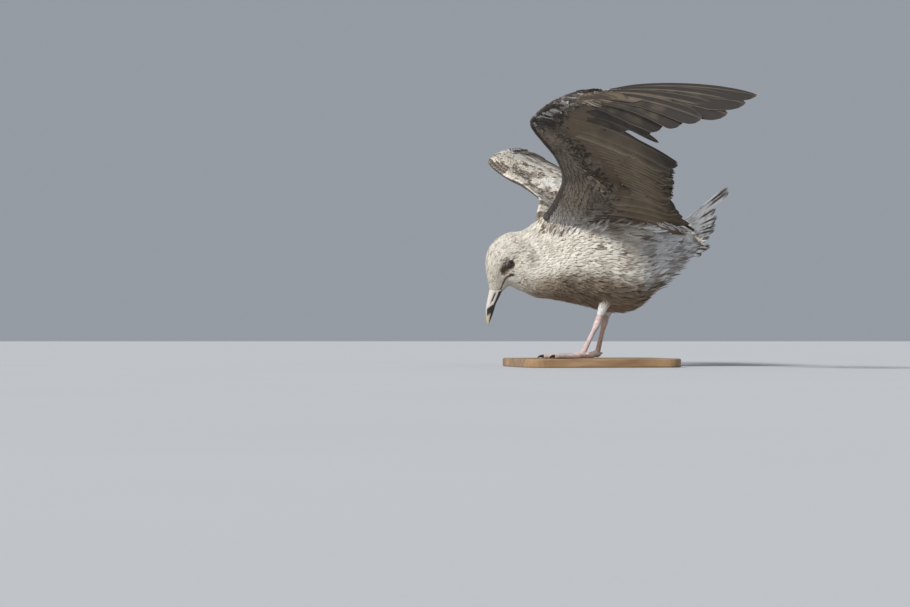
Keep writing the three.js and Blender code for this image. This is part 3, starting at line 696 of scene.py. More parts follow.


# Dark lore, dark line behind the eye and dark gape line, 0 to 1, by the way along the head; the gape line is
# dark colour and painted shadow in the crease of the mouth. Also where the pale stripes behind the gape lie:
# painted highlights on the folds of skin there.
def faceLines(station, turn):
    loreAt, lineAt, gapeAt = 1.64 + 0.04 * (2.4 - station), 1.57 - 0.22 * (station - 3.9), 1.97
    lore = smooth(station, 1.5, 2.1) * smooth(station, 4.0, 3.4) * hill(turn, loreAt, 0.16)
    line = 0.75 * smooth(station, 3.5, 3.9) * smooth(station, 4.6, 4.2) * hill(turn, lineAt, 0.08)
    # the gape line: dark colour and painted shadow in the crease
    gape = smooth(station, 3.7, 3.2) * hill(turn, gapeAt, 0.05)
    # pale stripes: painted highlights on the ridges of the folds
    foldsFrom, foldsTo, foldTurns = 2.03, 2.35, 52
    foldHighlight = (turn > foldsFrom) * (turn < foldsTo) * (np.cos((turn - foldsFrom) * foldTurns) > 0.2)
    foldHighlight = smooth(station, 2.2, 2.8) * smooth(station, 4.6, 4.0) * foldHighlight
    return np.clip(0.9 * lore + 0.9 * line + gape, 0, 1), foldHighlight


bodyEnds = ((0, lastStation), anyAngle)


def pickOf(table, keep):  # the kept feathers' rows of a table, and its single values as they are
    return {key: a[keep] if np.ndim(a) and len(a) == len(keep) else a for key, a in table.items()}


def bakeAt(station, angle):  # places of the roots on the unwrap of the body
    return np.stack([station / lastStation, (angle / (2 * np.pi)) % 1], 1) * 0.99


for name, first, last, rows, columns in coatParts:
    station, angle = bodyRoots(first, last)
    station = np.clip(station, 0, lastStation)
    root = bodyAt(station, angle)
    turn = turnOf(angle)
    table = {key: splineAt(coat[key], station) for key in ("length", "width", "depth", "ruffle")}
    under, loose = smooth(turn, 1.5, 2.1), smooth(station, 9.8, 11.6) * smooth(turn, 1.5, 2.0)
    size = dict(table, flowU=1.0, flowV=0.0, stray=0.1 + 0.12 * smooth(station, 8, 12),
                fray=0.3 + 0.2 * smooth(station, 6, 9), stand=0.15 + 2.5 * loose,
                thick=0.16 + 0.01 * table["length"], tip=0.3, point=0.3, hug=0.1)
    size["width"] = table["width"] * mix1(1.0, 1.5, smooth(turn, 1.2, 0.7) * smooth(station, 6.5, 8))
    size["ruffle"] = table["ruffle"] * (1 + 1.3 * loose)
    mark = bodyMarkAndShade(station, angle, root)
    pale, dark = bodyColours(station, angle)
    face = smooth(station, 6.2, 4.8)
    tone = mark * 0.8 + rng.normal(0, 1, len(mark)) * (0.1 + 0.05 * face)
    look = dict(pale=pale, dark=dark, tone=np.clip(tone, 0, 1), shaft=0.1 + 0.3 * mark * (1 - under),
                spot=0.35 * mark * smooth(station, 6, 8) * (1 - under), spotAt=0.8,
                root=0.08 + 0.2 * face, rim=0.12 + 0.2 * face)
    keep = np.ones(len(station), bool)
    onHead = name == "coat_head"
    if onHead:
        keep = np.min([eyeReach(root, s) for s in (left, right)], axis=0) > eyeSet["clear"]
        # lines: the face's dark marks, with the gape line's painted shadow; folds: painted highlights of the
        # folds behind the gape
        lines, folds = faceLines(station, turn)
        look["tone"] = np.clip(look["tone"] * (1 - folds) + 1.3 * lines, 0, 1)
        look["dark"] = mix(dark, plumes["underDark"], lines)
        look["rim"] = look["rim"] * (1 - lines)
    beds = [growFeathers(bodyAt, 1, station[keep], angle[keep], bakeAt(station, angle)[keep],
                         pickOf(size, keep), pickOf(look, keep), rows=rows, columns=columns, ends=bodyEnds)]
    if onHead:
        beds += [lidBed(side) for side in (left, right)]
    makeCoat(name, beds, bodyPlume)

# ---- skin: body, wing flesh and drumsticks run into one, with the legs and feet

legs = {  # y outward: where the drumstick starts, where its feathers end, ankle, toe joint
    left: dict(hip=(20, 30, 92), hem=(8, 29, 62), ankle=(3, 28, 47), joint=(-24, 60, 9)),
    right: dict(hip=(42, 30, 92), hem=(31, 29, 59), ankle=(28, 28, 50), joint=(26, 60, 9))}
thighRadii = (15, 11.5, 6.5, 3.8)
toes = dict(inner=(-24, 47), middle=(0, 58), outer=(22, 52))  # turn in degrees, length
footSet = dict(
    turn=4.0, sole=2.9, root=6.4, radii=(4.2, 3.5, 3.2, 2.7), shank=3.2, ankle=4.8,
    web=1.5, webRows=56, webColumns=15, webTrim=0.2, webHeight=1.5, webFolds=0.35,  # thickness, grid, shape
    heel=4.9, heelTall=4.6, heelUp=2.4,       # ball at the toes' joint
    spur=9.0, spurRadii=(2.8, 1.4), spurTurn=30, spurRise=1.2,  # the short hind toe
    shankPoints=90, toePoints=60, shankAround=28, toeAround=20, spurAround=12)


def outward(point, side):
    return np.array([point[0], side * point[1], point[2] + soles])


def thighLine(side, share):  # from above the hip, through it, to the hem of its feathers
    hip, hem = (outward(legs[side][key], side) for key in ("hip", "hem"))
    knots = np.array([hip + (hem - hip) * t for t in (-0.15, 0, 0.6, 1)])
    return splineAt(knots, np.asarray(share) * 3)


def thighAt(side, share, angle, depth=0.0):  # a tube round that line, a little flat from side to side
    share, angle = np.broadcast_arrays(share, angle)
    centre = thighLine(side, share)
    ahead = unit(thighLine(side, share + 0.01) - thighLine(side, share - 0.01))
    wide = unit(np.array([1.0, 0, 0]) - ahead * ahead[..., :1])
    high = np.cross(ahead, wide) * 0.8
    r = (splineAt(thighRadii, share * 3) - depth)[..., None]
    return centre + r * (wide * np.sin(angle)[..., None] + high * np.cos(angle)[..., None])


def toePath(side, toe, count=24):  # from the joint down to the sole's height, then along the floor
    turn, length = toes[toe]
    joint = legs[side]["joint"]
    a = np.radians(turn + footSet["turn"])
    ahead = np.array([-np.cos(a), side * np.sin(a), 0])
    knots = [outward((joint[0], joint[1], z), side) + ahead * length * t for t, z in
             ((0, footSet["root"]), (0.3, footSet["sole"]), (0.65, footSet["sole"]), (0.98, footSet["sole"]))]
    return splineAt(np.array(knots), np.linspace(0, 3, count)), ahead


# One run-together skin of closed parts: a voxel remesh of that size, then smoothed.
def runTogether(parts, voxel, smoothing):
    points, quads, faces = joinParts(parts)
    piece = buildPiece("runTogether", points, quads, faces)
    remesh = piece.modifiers.new("remesh", "REMESH")
    remesh.mode, remesh.voxel_size = "VOXEL", voxel * mm
    relax = piece.modifiers.new("relax", "SMOOTH")
    relax.factor, relax.iterations = 0.5, smoothing
    solid = bpy.data.meshes.new_from_object(piece.evaluated_get(bpy.context.evaluated_depsgraph_get()))
    co = np.zeros(len(solid.vertices) * 3)
    solid.vertices.foreach_get("co", co)
    corners = np.zeros(len(solid.loops), np.int32)
    solid.loops.foreach_get("vertex_index", corners)
    bpy.data.objects.remove(piece)
    return co.reshape(-1, 3) / mm, corners.reshape(-1, 4)


def nearestOf(points, known, block=4000):  # index of the nearest known point, by squared distance
    best = []
    for start in range(0, len(points), block):
        p = points[start:start + block].astype(np.float32)
        k = known.astype(np.float32)
        best.append(((k**2).sum(1) - 2 * p @ k.T).argmin(1))
    return np.concatenate(best)


skinSet = dict(rings=110, around=80, wingPlaces=90, wingDepth=1.2, thighRings=24, thighAround=28,
               thighDepth=1.6, voxel=2.4, smoothing=2, legVoxel=0.75, legSmoothing=1)
skinDepth = (0.4, 0.8, 1, 1.2, 1.3, 1.8, 2.6, 3.4, 4.2, 5, 5.5, 5.5, 5, 4.5, 4, 3)
ringStations, ringAngles = pairs(np.linspace(0.03, lastStation, skinSet["rings"]),
                                 fullTurn(skinSet["around"]))
bodyGrid = bodyAt(ringStations, ringAngles, splineAt(skinDepth, ringStations))
parts = [loft(bodyGrid)]
known = [bodyGrid.reshape(-1, 3)]
pale, dark = bodyColours(ringStations.ravel(), ringAngles.ravel())
knownColours = [mix(pale, dark, 0.25 + 0.7 * bodyMarkAndShade(ringStations.ravel(), ringAngles.ravel(), known[0]))]
fleshChords = np.concatenate([np.linspace(-1, 0, 9), np.linspace(0.05, 0.42, 8)])
for side in (left, right):
    places = np.linspace(0, wingSet["last"], skinSet["wingPlaces"])[:, None]
    faces = [wingAt(places, fleshChords[None], side, face, skinSet["wingDepth"]) for face in (1, -1)]
    wingGrid = np.concatenate([faces[0], faces[1][:, ::-1]], 1)
    parts.append(loft(wingGrid))
    known.append(wingGrid.reshape(-1, 3))
    shade = cloud(known[-1], 9.0)
    isUnder = np.tile(np.arange(wingGrid.shape[1]) >= len(fleshChords), wingGrid.shape[0])
    upperColour = mix(plumes["buff"] + 0 * known[-1], plumes["umber"], 0.8 * shade)
    underColour = mix(plumes["underwing"] + 0 * known[-1], plumes["underDark"], 0.3 + 0.5 * shade)
    knownColours.append(mix(upperColour, underColour, isUnder * 1.0))
    share, angle = pairs(np.linspace(0, 1, skinSet["thighRings"]), fullTurn(skinSet["thighAround"]))
    thighGrid = thighAt(side, share, angle, skinSet["thighDepth"])
    parts.append(loft(thighGrid))
    known.append(thighGrid.reshape(-1, 3))
    knownColours.append(np.tile(mix(plumes["cream"], plumes["brown"], 0.4), (share.size, 1)))
skinPoints, skinQuads = runTogether(parts, skinSet["voxel"], skinSet["smoothing"])
skinColours = np.concatenate(knownColours)[nearestOf(skinPoints, np.concatenate(known))]
print("body skin", len(skinQuads), "quads")

alongX, alongY, alongZ, nearlyY = np.array([(1.0, 0, 0), (0, 1.0, 0), (0, 0, 1.0), (0, 1.0, 0.001)])
legParts = []
for side in (left, right):
    leg = legs[side]
    hem, ankle, joint = (outward(leg[key], side) for key in ("hem", "ankle", "joint"))
    run = np.linspace(0, 3, footSet["shankPoints"])
    knots = [hem + (ankle - hem) * -0.3, ankle, ankle + (joint - ankle) * 0.3, joint]
    shank, around = footSet["shank"], footSet["shankAround"]
    radii = splineAt((shank * 1.15, footSet["ankle"], shank, shank * 1.2), run)
    behind = -np.cos(fullTurn(around) + np.pi / 2)[None]
    # faint plates across the back of the shank
    scute = 0.16 * (np.abs((run * 9) % 1 - 0.5) * 2)[:, None] * smooth(behind, -0.2, 0.6) * (run > 1)[:, None]
    line = splineAt(np.array(knots), run)
    legParts.append(loft(tubeRings(line, radii[:, None] + scute, around, alongX)))
    heel = outward((leg["joint"][0], leg["joint"][1], footSet["sole"] + footSet["heelUp"]), side)
    ball = np.linspace(-1, 1, 14)
    radii = footSet["heel"] * np.sqrt(np.maximum(1 - ball**2, 0.02))
    line = heel + footSet["heelTall"] * alongZ * ball[:, None]
    legParts.append(loft(tubeRings(line, radii, footSet["toeAround"], alongX)))
    turn = np.radians(footSet["spurTurn"])
    back = np.array([np.cos(turn), side * np.sin(turn), 0])
    t = np.linspace(0, 1, 10)
    spur = heel + back * footSet["spur"] * t[:, None] + alongZ * footSet["spurRise"] * t[:, None]
    legParts.append(loft(tubeRings(spur, mix1(*footSet["spurRadii"], t), footSet["spurAround"], alongY)))
    rays = {}
    for toe, (turn, length) in toes.items():
        path, ahead = toePath(side, toe, footSet["toePoints"])
        t = np.linspace(0, 1, footSet["toePoints"])
        pad = 1 + 0.1 * np.sin(t * (3 + length / 16) * np.pi) ** 2  # cushions under the toe's bones
        pad = pad + 0.05 * np.abs((t * length / 2.6) % 1 - 0.5)     # and the plates on top
        rings = tubeRings(path, splineAt(footSet["radii"], t * 3) * pad, footSet["toeAround"], nearlyY)
        rings[..., 2] = np.maximum(rings[..., 2], soles + 0.05)
        legParts.append(loft(rings))
        rays[toe] = path
    for first, second in (("inner", "middle"), ("middle", "outer")):
        a, b = rays[first][:footSet["webRows"]], rays[second][:footSet["webRows"]]
        across = np.linspace(0, 1, footSet["webColumns"])[None, :, None]
        sheet = a[:, None] * (1 - across) + b[:, None] * across
        trim = 1 - footSet["webTrim"] * np.sin(np.pi * across)
        sheet = rays[first][0] + (sheet - rays[first][0]) * trim
        folds = np.sin(across[..., 0] * 5 * np.pi) * np.linspace(0, 1, footSet["webRows"])[:, None]
        sheet[..., 2] = soles + footSet["webHeight"] + footSet["webFolds"] * folds
        half = alongZ * footSet["web"] / 2
        legParts.append(loft(np.concatenate([sheet + half, (sheet - half)[:, ::-1]], 1)[1:]))
legPoints, legQuads = runTogether(legParts, skinSet["legVoxel"], skinSet["legSmoothing"])
legPoints[:, 2] = np.maximum(legPoints[:, 2], soles)
pink, worn = tint(228, 208, 202), tint(184, 152, 142)
legColours = mix(pink + 0 * legPoints, worn, 0.6 * cloud(legPoints, 6.0) * (cloud(legPoints, 2.2) > 0.35))
print("legs and feet", len(legQuads), "quads")

# Lids: a shell over the eyeball with the slanted opening in it. Its rim is rounded between the
# outer sheet, a lid's thickness over the eyeball, and the inner one close to it.
lidParts = []
for side in (left, right):
    around, lid = 64, eyeSet["lid"]
    v = fullTurn(around)[None]
    u = np.concatenate([np.linspace(eyeSet["lidEnd"], 1.12, 12), [1.03, 1.0, 1.03],
                        np.linspace(1.3, eyeSet["lidEnd"], 4)])[:, None]
    grow = np.concatenate([np.linspace(-0.4, lid, 4), np.full(8, lid), [lid * 0.9, 0.3, 0.1],
                           np.linspace(0.05, -0.6, 4)])[:, None]
    shell = lidAt(side, u + 0 * v, v + 0 * u, grow + 0 * v)
    index = np.arange(shell.shape[0] * around).reshape(-1, around)
    turned = np.roll(index, -1, 1)
    quads = np.stack([index, turned, np.roll(turned, -1, 0), np.roll(index, -1, 0)], -1).reshape(-1, 4)
    lidParts.append((shell.reshape(-1, 3), quads[:, ::side]))
# points, quads, colours and which of the two materials
skinParts = [(skinPoints, skinQuads, skinColours, 0), (legPoints, legQuads, legColours, 1)]
skinParts += [(p, q, np.tile(tint(44, 35, 29), (len(p), 1)), 0) for p, q in lidParts]
skinStarts = np.cumsum([0] + [len(part[0]) for part in skinParts[:-1]])
skinAll, coloursAll = (np.concatenate([part[k] for part in skinParts]) for k in (0, 2))
quadsAll = np.concatenate([part[1] + start for part, start in zip(skinParts, skinStarts)])
whichAll = np.concatenate([np.full(len(part[1]), part[3]) for part in skinParts])
skin = buildPiece("skin", skinAll, quadsAll, colours=coloursAll, which=whichAll,
                  materials=[skinPlume, legSkin])
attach(skin, "root")
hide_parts("trunk", "neck", "head",
            *[f"{part}_{name}" for name in ("left", "right") for part in ("thigh", "shank", "foot")],
            *[f"wing_{name}_{part}" for name in ("left", "right") for part in ("arm", "hand")])
print("skin", len(quadsAll), "quads in", len(skinParts), "parts")

# ---- drumsticks' coat

for side, sideName in ((left, "left"), (right, "right")):
    shares, around = np.arange(0.1, 0.93, 0.075), 14
    roots = [(np.full(around, s), fullTurn(around) + 0.22 * (i % 2)) for i, s in enumerate(shares)]
    share, angle = (np.concatenate(part) for part in zip(*roots))
    at = lambda s, a: thighAt(side, s, a)
    mark = 0.35 + 0.5 * (cloud(at(share, angle), 9.0) - 0.5)
    size = dict(length=mix1(16.0, 7.0, share), width=mix1(2.8, 1.3, share), depth=1.0, flowU=1.0, flowV=0.0,
                stray=0.12, fray=0.45, ruffle=1.2, thick=0.35)
    pale = mix(plumes["belly"] + np.zeros((len(share), 3)), plumes["white"], smooth(share, 0.45, 0.8))
    look = dict(pale=pale, dark=plumes["brown"], tone=mark * mix1(0.9, 0.25, smooth(share, 0.4, 0.8)),
                shaft=0.1, rim=0.1)
    bake = np.stack([share, angle / 7], 1) * 0.98
    bed = growFeathers(at, -1, share, angle, bake, size, look, ends=((0, 1), anyAngle))
    makeCoat(f"coat_thigh_{sideName}", [bed], bodyPlume)

# ---- longer plumes: mantle and shoulder tufts against the wings, the breast side's long
# feathers under them, and the ragged vent

# First and last station and turn, gaps between the rows and in a row, length, half width, stand,
# and the way back, out and up.
plumeBeds = dict(
    mantle=dict(stations=(6.7, 8.3), turns=(0.35, 1.0), gaps=(3.6, 3.4),
                length=17, width=3.0, stand=4.5, heading=(0.62, 0.1, 0.78)),
    shoulder=dict(stations=(7.0, 9.3), turns=(0.8, 1.22), gaps=(3.8, 3.0),
                  length=21, width=3.0, stand=4.5, heading=(0.68, 0.24, 0.7)),
    axillar=dict(stations=(8.5, 11.6), turns=(0.8, 1.12), gaps=(5.0, 4.2),
                 length=30, width=3.4, stand=5.0, heading=(0.93, 0.12, 0.3)),
    rear=dict(stations=(10.9, 12.8), turns=(0.82, 1.12), gaps=(5.5, 3.6),
              length=44, width=3.4, stand=9.0, heading=(0.93, 0.27, 0.25)),
    vent=dict(stations=(12.0, 14.6), turns=(1.7, 3.1), gaps=(6.0, 5.5),
              length=36, width=3.2, stand=9.0, heading=(0.99, 0.05, -0.02)))


# Looks of the beds, from the roots' soft patches, large and small, and their share of the bed's length.
def plumeLook(kind, large, small, share):
    tuft = mix(plumes["cream"], plumes["white"], 0.5)
    brown = plumes["brown"]
    if kind == "mantle":
        tone = 0.42 + 1.6 * (large - 0.5)
        return dict(pale=plumes["cream"], dark=brown, tone=tone, shaft=0.5, rim=0.25, root=0.3)
    if kind == "shoulder":
        tone = 0.02 + 0.2 * smooth(share, 0.4, 0.1) + 0.3 * (small > 0.58)
        return dict(pale=tuft, dark=brown, tone=tone, shaft=0.3, spot=0.4, spotAt=0.6, rim=0.25)
    if kind == "axillar":
        tone = 0.6 + 0.7 * (large - 0.5) - 0.2 * share
        return dict(pale=tuft, dark=brown, tone=tone, spot=0.5, spotAt=0.72, shaft=0.3, rim=0.2)
    if kind == "rear":
        tone = 0.02 + 0.1 * (large > 0.6)
        return dict(pale=plumes["white"], dark=brown, tone=tone, spot=0.15, spotAt=0.6, shaft=0.3, rim=0.3)
    return dict(pale=plumes["vent"], dark=plumes["ventDark"], tone=np.where(large > 0.55, 0.6, 0.1),
                spot=0.7, spotAt=0.88, spotLong=0.12, shaft=0.2)


def plumeBed(kind, side):
    bed = plumeBeds[kind]
    rows = []
    ahead = alongBody(*bed["stations"], 1.57)
    for i, station in enumerate(np.linspace(*bed["stations"], max(int(ahead / bed["gaps"][0]), 2))):
        line = lambda t: bodyAt(np.full(t.shape, station), side * t)
        turns = spaced(line, *bed["turns"], bed["gaps"][1], 0.5 * (i % 2))
        rows.append((np.full(len(turns), station), side * turns))
    station, angle = (np.concatenate(part) for part in zip(*rows))
    station, angle = station + rng.normal(0, 0.04, len(station)), angle + rng.normal(0, 0.02, len(angle))
    station = np.clip(station, 0, lastStation - 0.1)
    count, share = len(station), (station - bed["stations"][0]) / (bed["stations"][1] - bed["stations"][0])
    heading = np.tile(unit(np.array(bed["heading"]) * np.array([1, side, 1])), (count, 1))
    size = dict(length=bed["length"], width=bed["width"], stand=bed["stand"], ruffle=0.5 * bed["stand"],
                heading=heading, stray=0.14, depth=2.0, fray=0.45, tip=0.3, thick=0.35, point=0.4, hug=0.25)
    place = bodyAt(station, angle)
    look = plumeLook(kind, cloud(place, 8.0), cloud(place, 5.0), share)
    look["tone"] = np.clip(look["tone"] + rng.normal(0, 0.1, count), 0, 1)
    bake = bakeAt(station, angle % (2 * np.pi))
    return growFeathers(bodyAt, 1, station, angle, bake, size, look, rows=7, columns=7, ends=bodyEnds)


for side, sideName in ((left, "left"), (right, "right")):
    tufts = [plumeBed(kind, side) for kind in ("mantle", "shoulder", "axillar", "rear")]
    makeCoat(f"plumes_wing_root_{sideName}", tufts, bodyPlume)
makeCoat("plumes_vent", [plumeBed("vent", side) for side in (left, right)], bodyPlume)

# ---- wing coverts: rows at set distances behind the leading edge, the greater coverts last

coverts = dict(
    places=(0.25, 11.8), greatPlaces=(0.5, 11.75), greatGap=8.5, greatWidth=8.2,
    # distance of the first row, the gap after it, and the gap reached at the distance stepsTo
    first=0.4, step=(3.2, 7.0), stepsTo=60,
    # from the leading edge to the greater coverts
    length=(8, 12, 15, 18, 26), width=(2.0, 2.8, 3.6, 4.6, 5.4),
    # chords of the greater coverts' roots and tips, on the arm and on the hand
    underRoots=(0.13, 0.09), upperRoots=(0.25, 0.1),
    underTips=(0.42, 0.47), upperTips=(0.5, 0.4), depth=1.5)


def chordLengths(place, side):  # from the bones to the leading edge, and to the tips
    zero = np.zeros(np.shape(place))
    bone = wingChord(place, zero, side)
    return (np.linalg.norm(wingChord(place, zero - 1, side) - bone, axis=-1),
            np.linalg.norm(wingChord(place, zero + 1, side) - bone, axis=-1))


def frontArc(place, fore):  # way round the leading edge, as a quarter of an ellipse
    return np.pi / 4 * (fore + splineAt(wingCore, np.asarray(place, float)))


def insideBody(points, depth):  # whether a point lies deeper than that under the body's surface
    s, a = pairs(np.linspace(4, lastStation, 60), fullTurn(48))
    grid = bodyAt(s, a).reshape(-1, 3)
    inner = bodyAt(s, a, 4.0 + 0 * s).reshape(-1, 3)
    k = nearestOf(points, grid)
    return ((points - grid[k]) * unit(grid[k] - inner[k])).sum(1) < -depth


wingEnds = ((0, wingSet["last"]), (-1, 1))


def wingBake(place, chord):  # places of the roots on the unwrap of a side of the wing
    return np.stack([place / wingSet["last"], chord * 0.45 + 0.5], 1) * 0.98


def wingHeading(place, side):  # the way a feather lies there: from the bones to the feathers' tips
    gone = wingChord(place, np.ones(place.shape), side) - wingChord(place, np.zeros(place.shape), side)
    return unit(gone) * np.array([1, side, 1])


def covertBeds(side, face):
    at = lambda p, c: wingAt(np.clip(p, 0, wingSet["last"]), np.clip(c, -1, 1), side, face)
    sign = -side * face
    sheet = "upper" if face > 0 else "under"
    roots, tips = coverts[sheet + "Roots"], coverts[sheet + "Tips"]
    rows, distance, row = [], coverts["first"], 0
    everyPlace = np.linspace(*coverts["places"], 300)
    fore, aft = chordLengths(everyPlace, side)
    hand = smooth(everyPlace, 5.5, 7)
    reach = frontArc(everyPlace, fore) + aft * mix1(roots[0], roots[1], hand)
    while distance < reach.max():
        share = min(distance / coverts["stepsTo"], 1)
        width = splineAt(coverts["width"], share * 4)
        line = lambda p: at(p, chordOf(p, distance, side))
        p = spaced(line, *coverts["places"], width * 1.15, 0.5 * (row % 2))
        rows.append((p, np.full(len(p), distance)))
        distance, row = distance + mix1(coverts["step"][0], coverts["step"][1], share), row + 1
    place, distance = (np.concatenate(part) for part in zip(*rows))
    limit = np.interp(place, everyPlace, reach)
    keep = distance < limit
    place, distance, limit = place[keep], distance[keep], limit[keep]
    chord = chordOf(place, distance, side)
    root = at(place, chord)
    keep = ~insideBody(root, 5.0)
    place, distance, limit, chord, root = place[keep], distance[keep], limit[keep], chord[keep], root[keep]
    share = np.clip(distance / np.maximum(limit, 30), 0, 1)
    half = wingHalf(place, chord)
    atWrist = smooth(place, 4.8, 5.8) * smooth(place, 8.2, 7.2)
    length = np.minimum(splineAt(coverts["length"], share * 4), 10 + 0.5 * limit) * (1 - 0.35 * atWrist)
    width = splineAt(coverts["width"], share * 4) * 1.15
    size = dict(length=length, width=width, depth=np.minimum(coverts["depth"], 0.6 * half),
                heading=wingHeading(place, side), stray=0.1, stand=0.3, ruffle=0.3, fray=0.2, thick=0.3,
                tip=0.32, hug=0.12)
    look = covertLook(place, chord, root, share, distance, side, face)
    bake = wingBake(place, chord)
    beds = [growFeathers(at, sign, place, chord, bake, size, look, rows=5, columns=5, ends=wingEnds)]
    if face < 0:
        beds.append(axillars(at, sign, side, np.linspace(-0.1, 0.5, 7), 30, 0.0))
        beds.append(axillars(at, sign, side, (0.5, 0.57, 0.64, 0.71, 0.78), 40, 1.0))
    # greater coverts, one row spaced where they show
    p = spaced(lambda q: at(q, 0.3 + 0 * q), *coverts["greatPlaces"], coverts["greatGap"])
    fore, aft = chordLengths(p, side)
    hand = smooth(p, 5.5, 7)
    c = mix1(roots[0], roots[1], hand) - 0.02
    tip = mix1(tips[0], tips[1], hand) + 0.1 * smooth(p, 9, 11) * (face < 0)
    keep = ~insideBody(at(p, c + 0.1), 3.0)
    p, c, tip, aft = p[keep], c[keep], (tip + 0 * p)[keep], aft[keep]
    size = dict(length=(tip - c) * aft, width=coverts["greatWidth"], depth=0.5, heading=wingHeading(p, side),
                stray=0.03, stand=0.25, ruffle=0.3, fray=0.1, thick=0.5, tip=0.2)
    look = greaterLook(p, side, face)
    return beds + [growFeathers(at, sign, p, c, wingBake(p, c), size, look, rows=9, columns=5, ends=wingEnds)]


# Axillars: long soft feathers over the root of the under side, barred brown, and the loose white
# ones behind them that hang over the tertials.
def axillars(at, sign, side, chords, length, whiteness):
    place, chord = pairs(np.linspace(0.12, 1.5 - 0.7 * whiteness, 9), chords)
    place = place.ravel() + rng.normal(0, 0.04, place.size)
    chord = chord.ravel() + rng.normal(0, 0.02, chord.size)
    keep = ~insideBody(at(place, chord), 9.0)
    place, chord = place[keep], chord[keep]
    size = dict(length=length, width=4.0, depth=0.8, heading=wingHeading(place, side),
                stray=0.08 + 0.06 * whiteness, stand=1.2 + 2.5 * whiteness, ruffle=1.4 + 2 * whiteness,
                fray=0.4, thick=0.3, tip=0.3, point=0.3)
    pale = mix(plumes["underwing"] + np.zeros((len(place), 3)), plumes["white"], 0.15 + 0.85 * whiteness)
    tone = np.clip(0.5 - 0.45 * whiteness + rng.normal(0, 0.12, len(place)), 0, 1)
    look = dict(pale=pale, dark=plumes["umber"], tone=tone, shaft=0.45, rim=0.2,
                spot=0.4 - 0.2 * whiteness, spotAt=0.6, spotLong=0.1)
    bake = wingBake(place, chord)
    return growFeathers(at, sign, place, chord, bake, size, look, rows=7, columns=5, ends=wingEnds)


# The chord that lies that far back from the leading edge: round the front as a quarter of an
# ellipse, -cos of the share of its arc, then straight.
def chordOf(place, distance, side):
    fore, aft = chordLengths(np.asarray(place, float), side)
    arc = frontArc(place, fore)
    front = -np.cos(np.minimum(distance / arc, 1) * np.pi / 2)
    return np.where(distance < arc, front, (distance - arc) / aft)


# Under side: dark and white at the wrist, rows of dark blotches on the median coverts, the rest grey-brown;
# on the right wing it is paler at the wrist, the leading edge and the hand, which is painted light on an
# under side in shade. Upper side: buff with close brown chequers.
def covertLook(place, chord, root, share, distance, side, face):
    count = len(place)
    patchy, fine = cloud(root, 9.0), cloud(root, 4.0)
    if face > 0:
        whiter = hill(place, 3.9, 0.7) * hill(chord, 0.2, 0.3)
        edge = smooth(distance, 8, 3) * (0.2 + 0.8 * (fine > 0.5)) * (1 if side == left else 0.45)
        tone = 0.06 + 0.62 * smooth(patchy, 0.5, 0.58) + 0.6 * edge + rng.normal(0, 0.06, count)
        spot = np.clip(0.7 + 1.0 * (fine - 0.5), 0, 1) * (1 - 0.5 * whiter)
        pale = mix(plumes["buff"] + 0 * root, plumes["white"], 0.3 + 0.4 * whiter)
        return dict(pale=pale, dark=plumes["umber"] * 1.2, tone=np.clip(tone, 0, 1) * (1 - 0.45 * whiter),
                    spot=spot, spotAt=0.64, spotLong=0.15, rim=0.3)
    wrist = smooth(place, 5.6, 6.3) * smooth(place, 9.4, 8.4) * smooth(chord, 0.3, 0.1)
    blotch = smooth(share, 0.5, 0.62) * smooth(share, 0.97, 0.9)
    blotch = blotch * smooth(place, 5.6, 5.0) * smooth(place, 0.8, 1.6)
    tone = 0.25 + 0.5 * (patchy - 0.5) + rng.normal(0, 0.07, count)
    # on the right wing the wrist's flecks, the dark leading edge and the hand are made paler: painted light
    # on an under side that lies in shade
    flecks = np.where(fine > 0.56, mix1(0.5, 0.05, smooth(distance, 15, 8)), 0.95 if side == left else 0.5)
    tone = mix1(tone, flecks, wrist) - 0.35 * smooth(place, 1.6, 0.3) * (patchy > 0.45)
    tone = tone + (1.2 if side == left else 0.1) * smooth(distance, 6, 2) * mix1(1.0, 0.5, wrist)
    whiter = 0.08 + 0.5 * smooth(place, 5, 6) * (side == right) + 0.45 * wrist * smooth(distance, 22, 12)
    whiter = np.clip(whiter + 0.4 * smooth(place, 1.7, 0.3), 0, 1)
    return dict(pale=mix(plumes["underwing"] + 0 * root, plumes["white"], whiter), dark=plumes["underDark"],
                tone=np.clip(tone, 0, 1), spot=0.2 + 0.8 * blotch * (patchy > 0.4), spotAt=0.74, spotLong=0.2,
                rim=0.22, shaft=0.2)


def greaterLook(place, side, face):  # chequered above, but brown on the left hand; dark-tipped under
    if face > 0:
        hand = smooth(place, 5.8, 6.6) * (1 if side == left else 0.15)
        return dict(pale=plumes["cream"], dark=plumes["umber"] * 1.3, tone=0.18 + 0.67 * hand,
                    spot=0.75, spotAt=0.8, spotLong=0.1, shaft=0.3, rim=0.4 * (1 - hand))
    hand = smooth(place, 6, 8)
    pale = mix(plumes["underwing"] + np.zeros((len(place), 3)), plumes["flightPale"], 0.3)
    return dict(pale=pale, dark=plumes["underDark"], tone=0.22 + 0.2 * hand + rng.normal(0, 0.05, len(place)),
                spot=0.3 + 0.5 * hand, spotAt=mix1(0.93, 0.97, hand), spotLong=mix1(0.06, 0.05, hand),
                shaft=0.15, rim=-0.15 - 0.3 * hand)


# ---- flight feathers

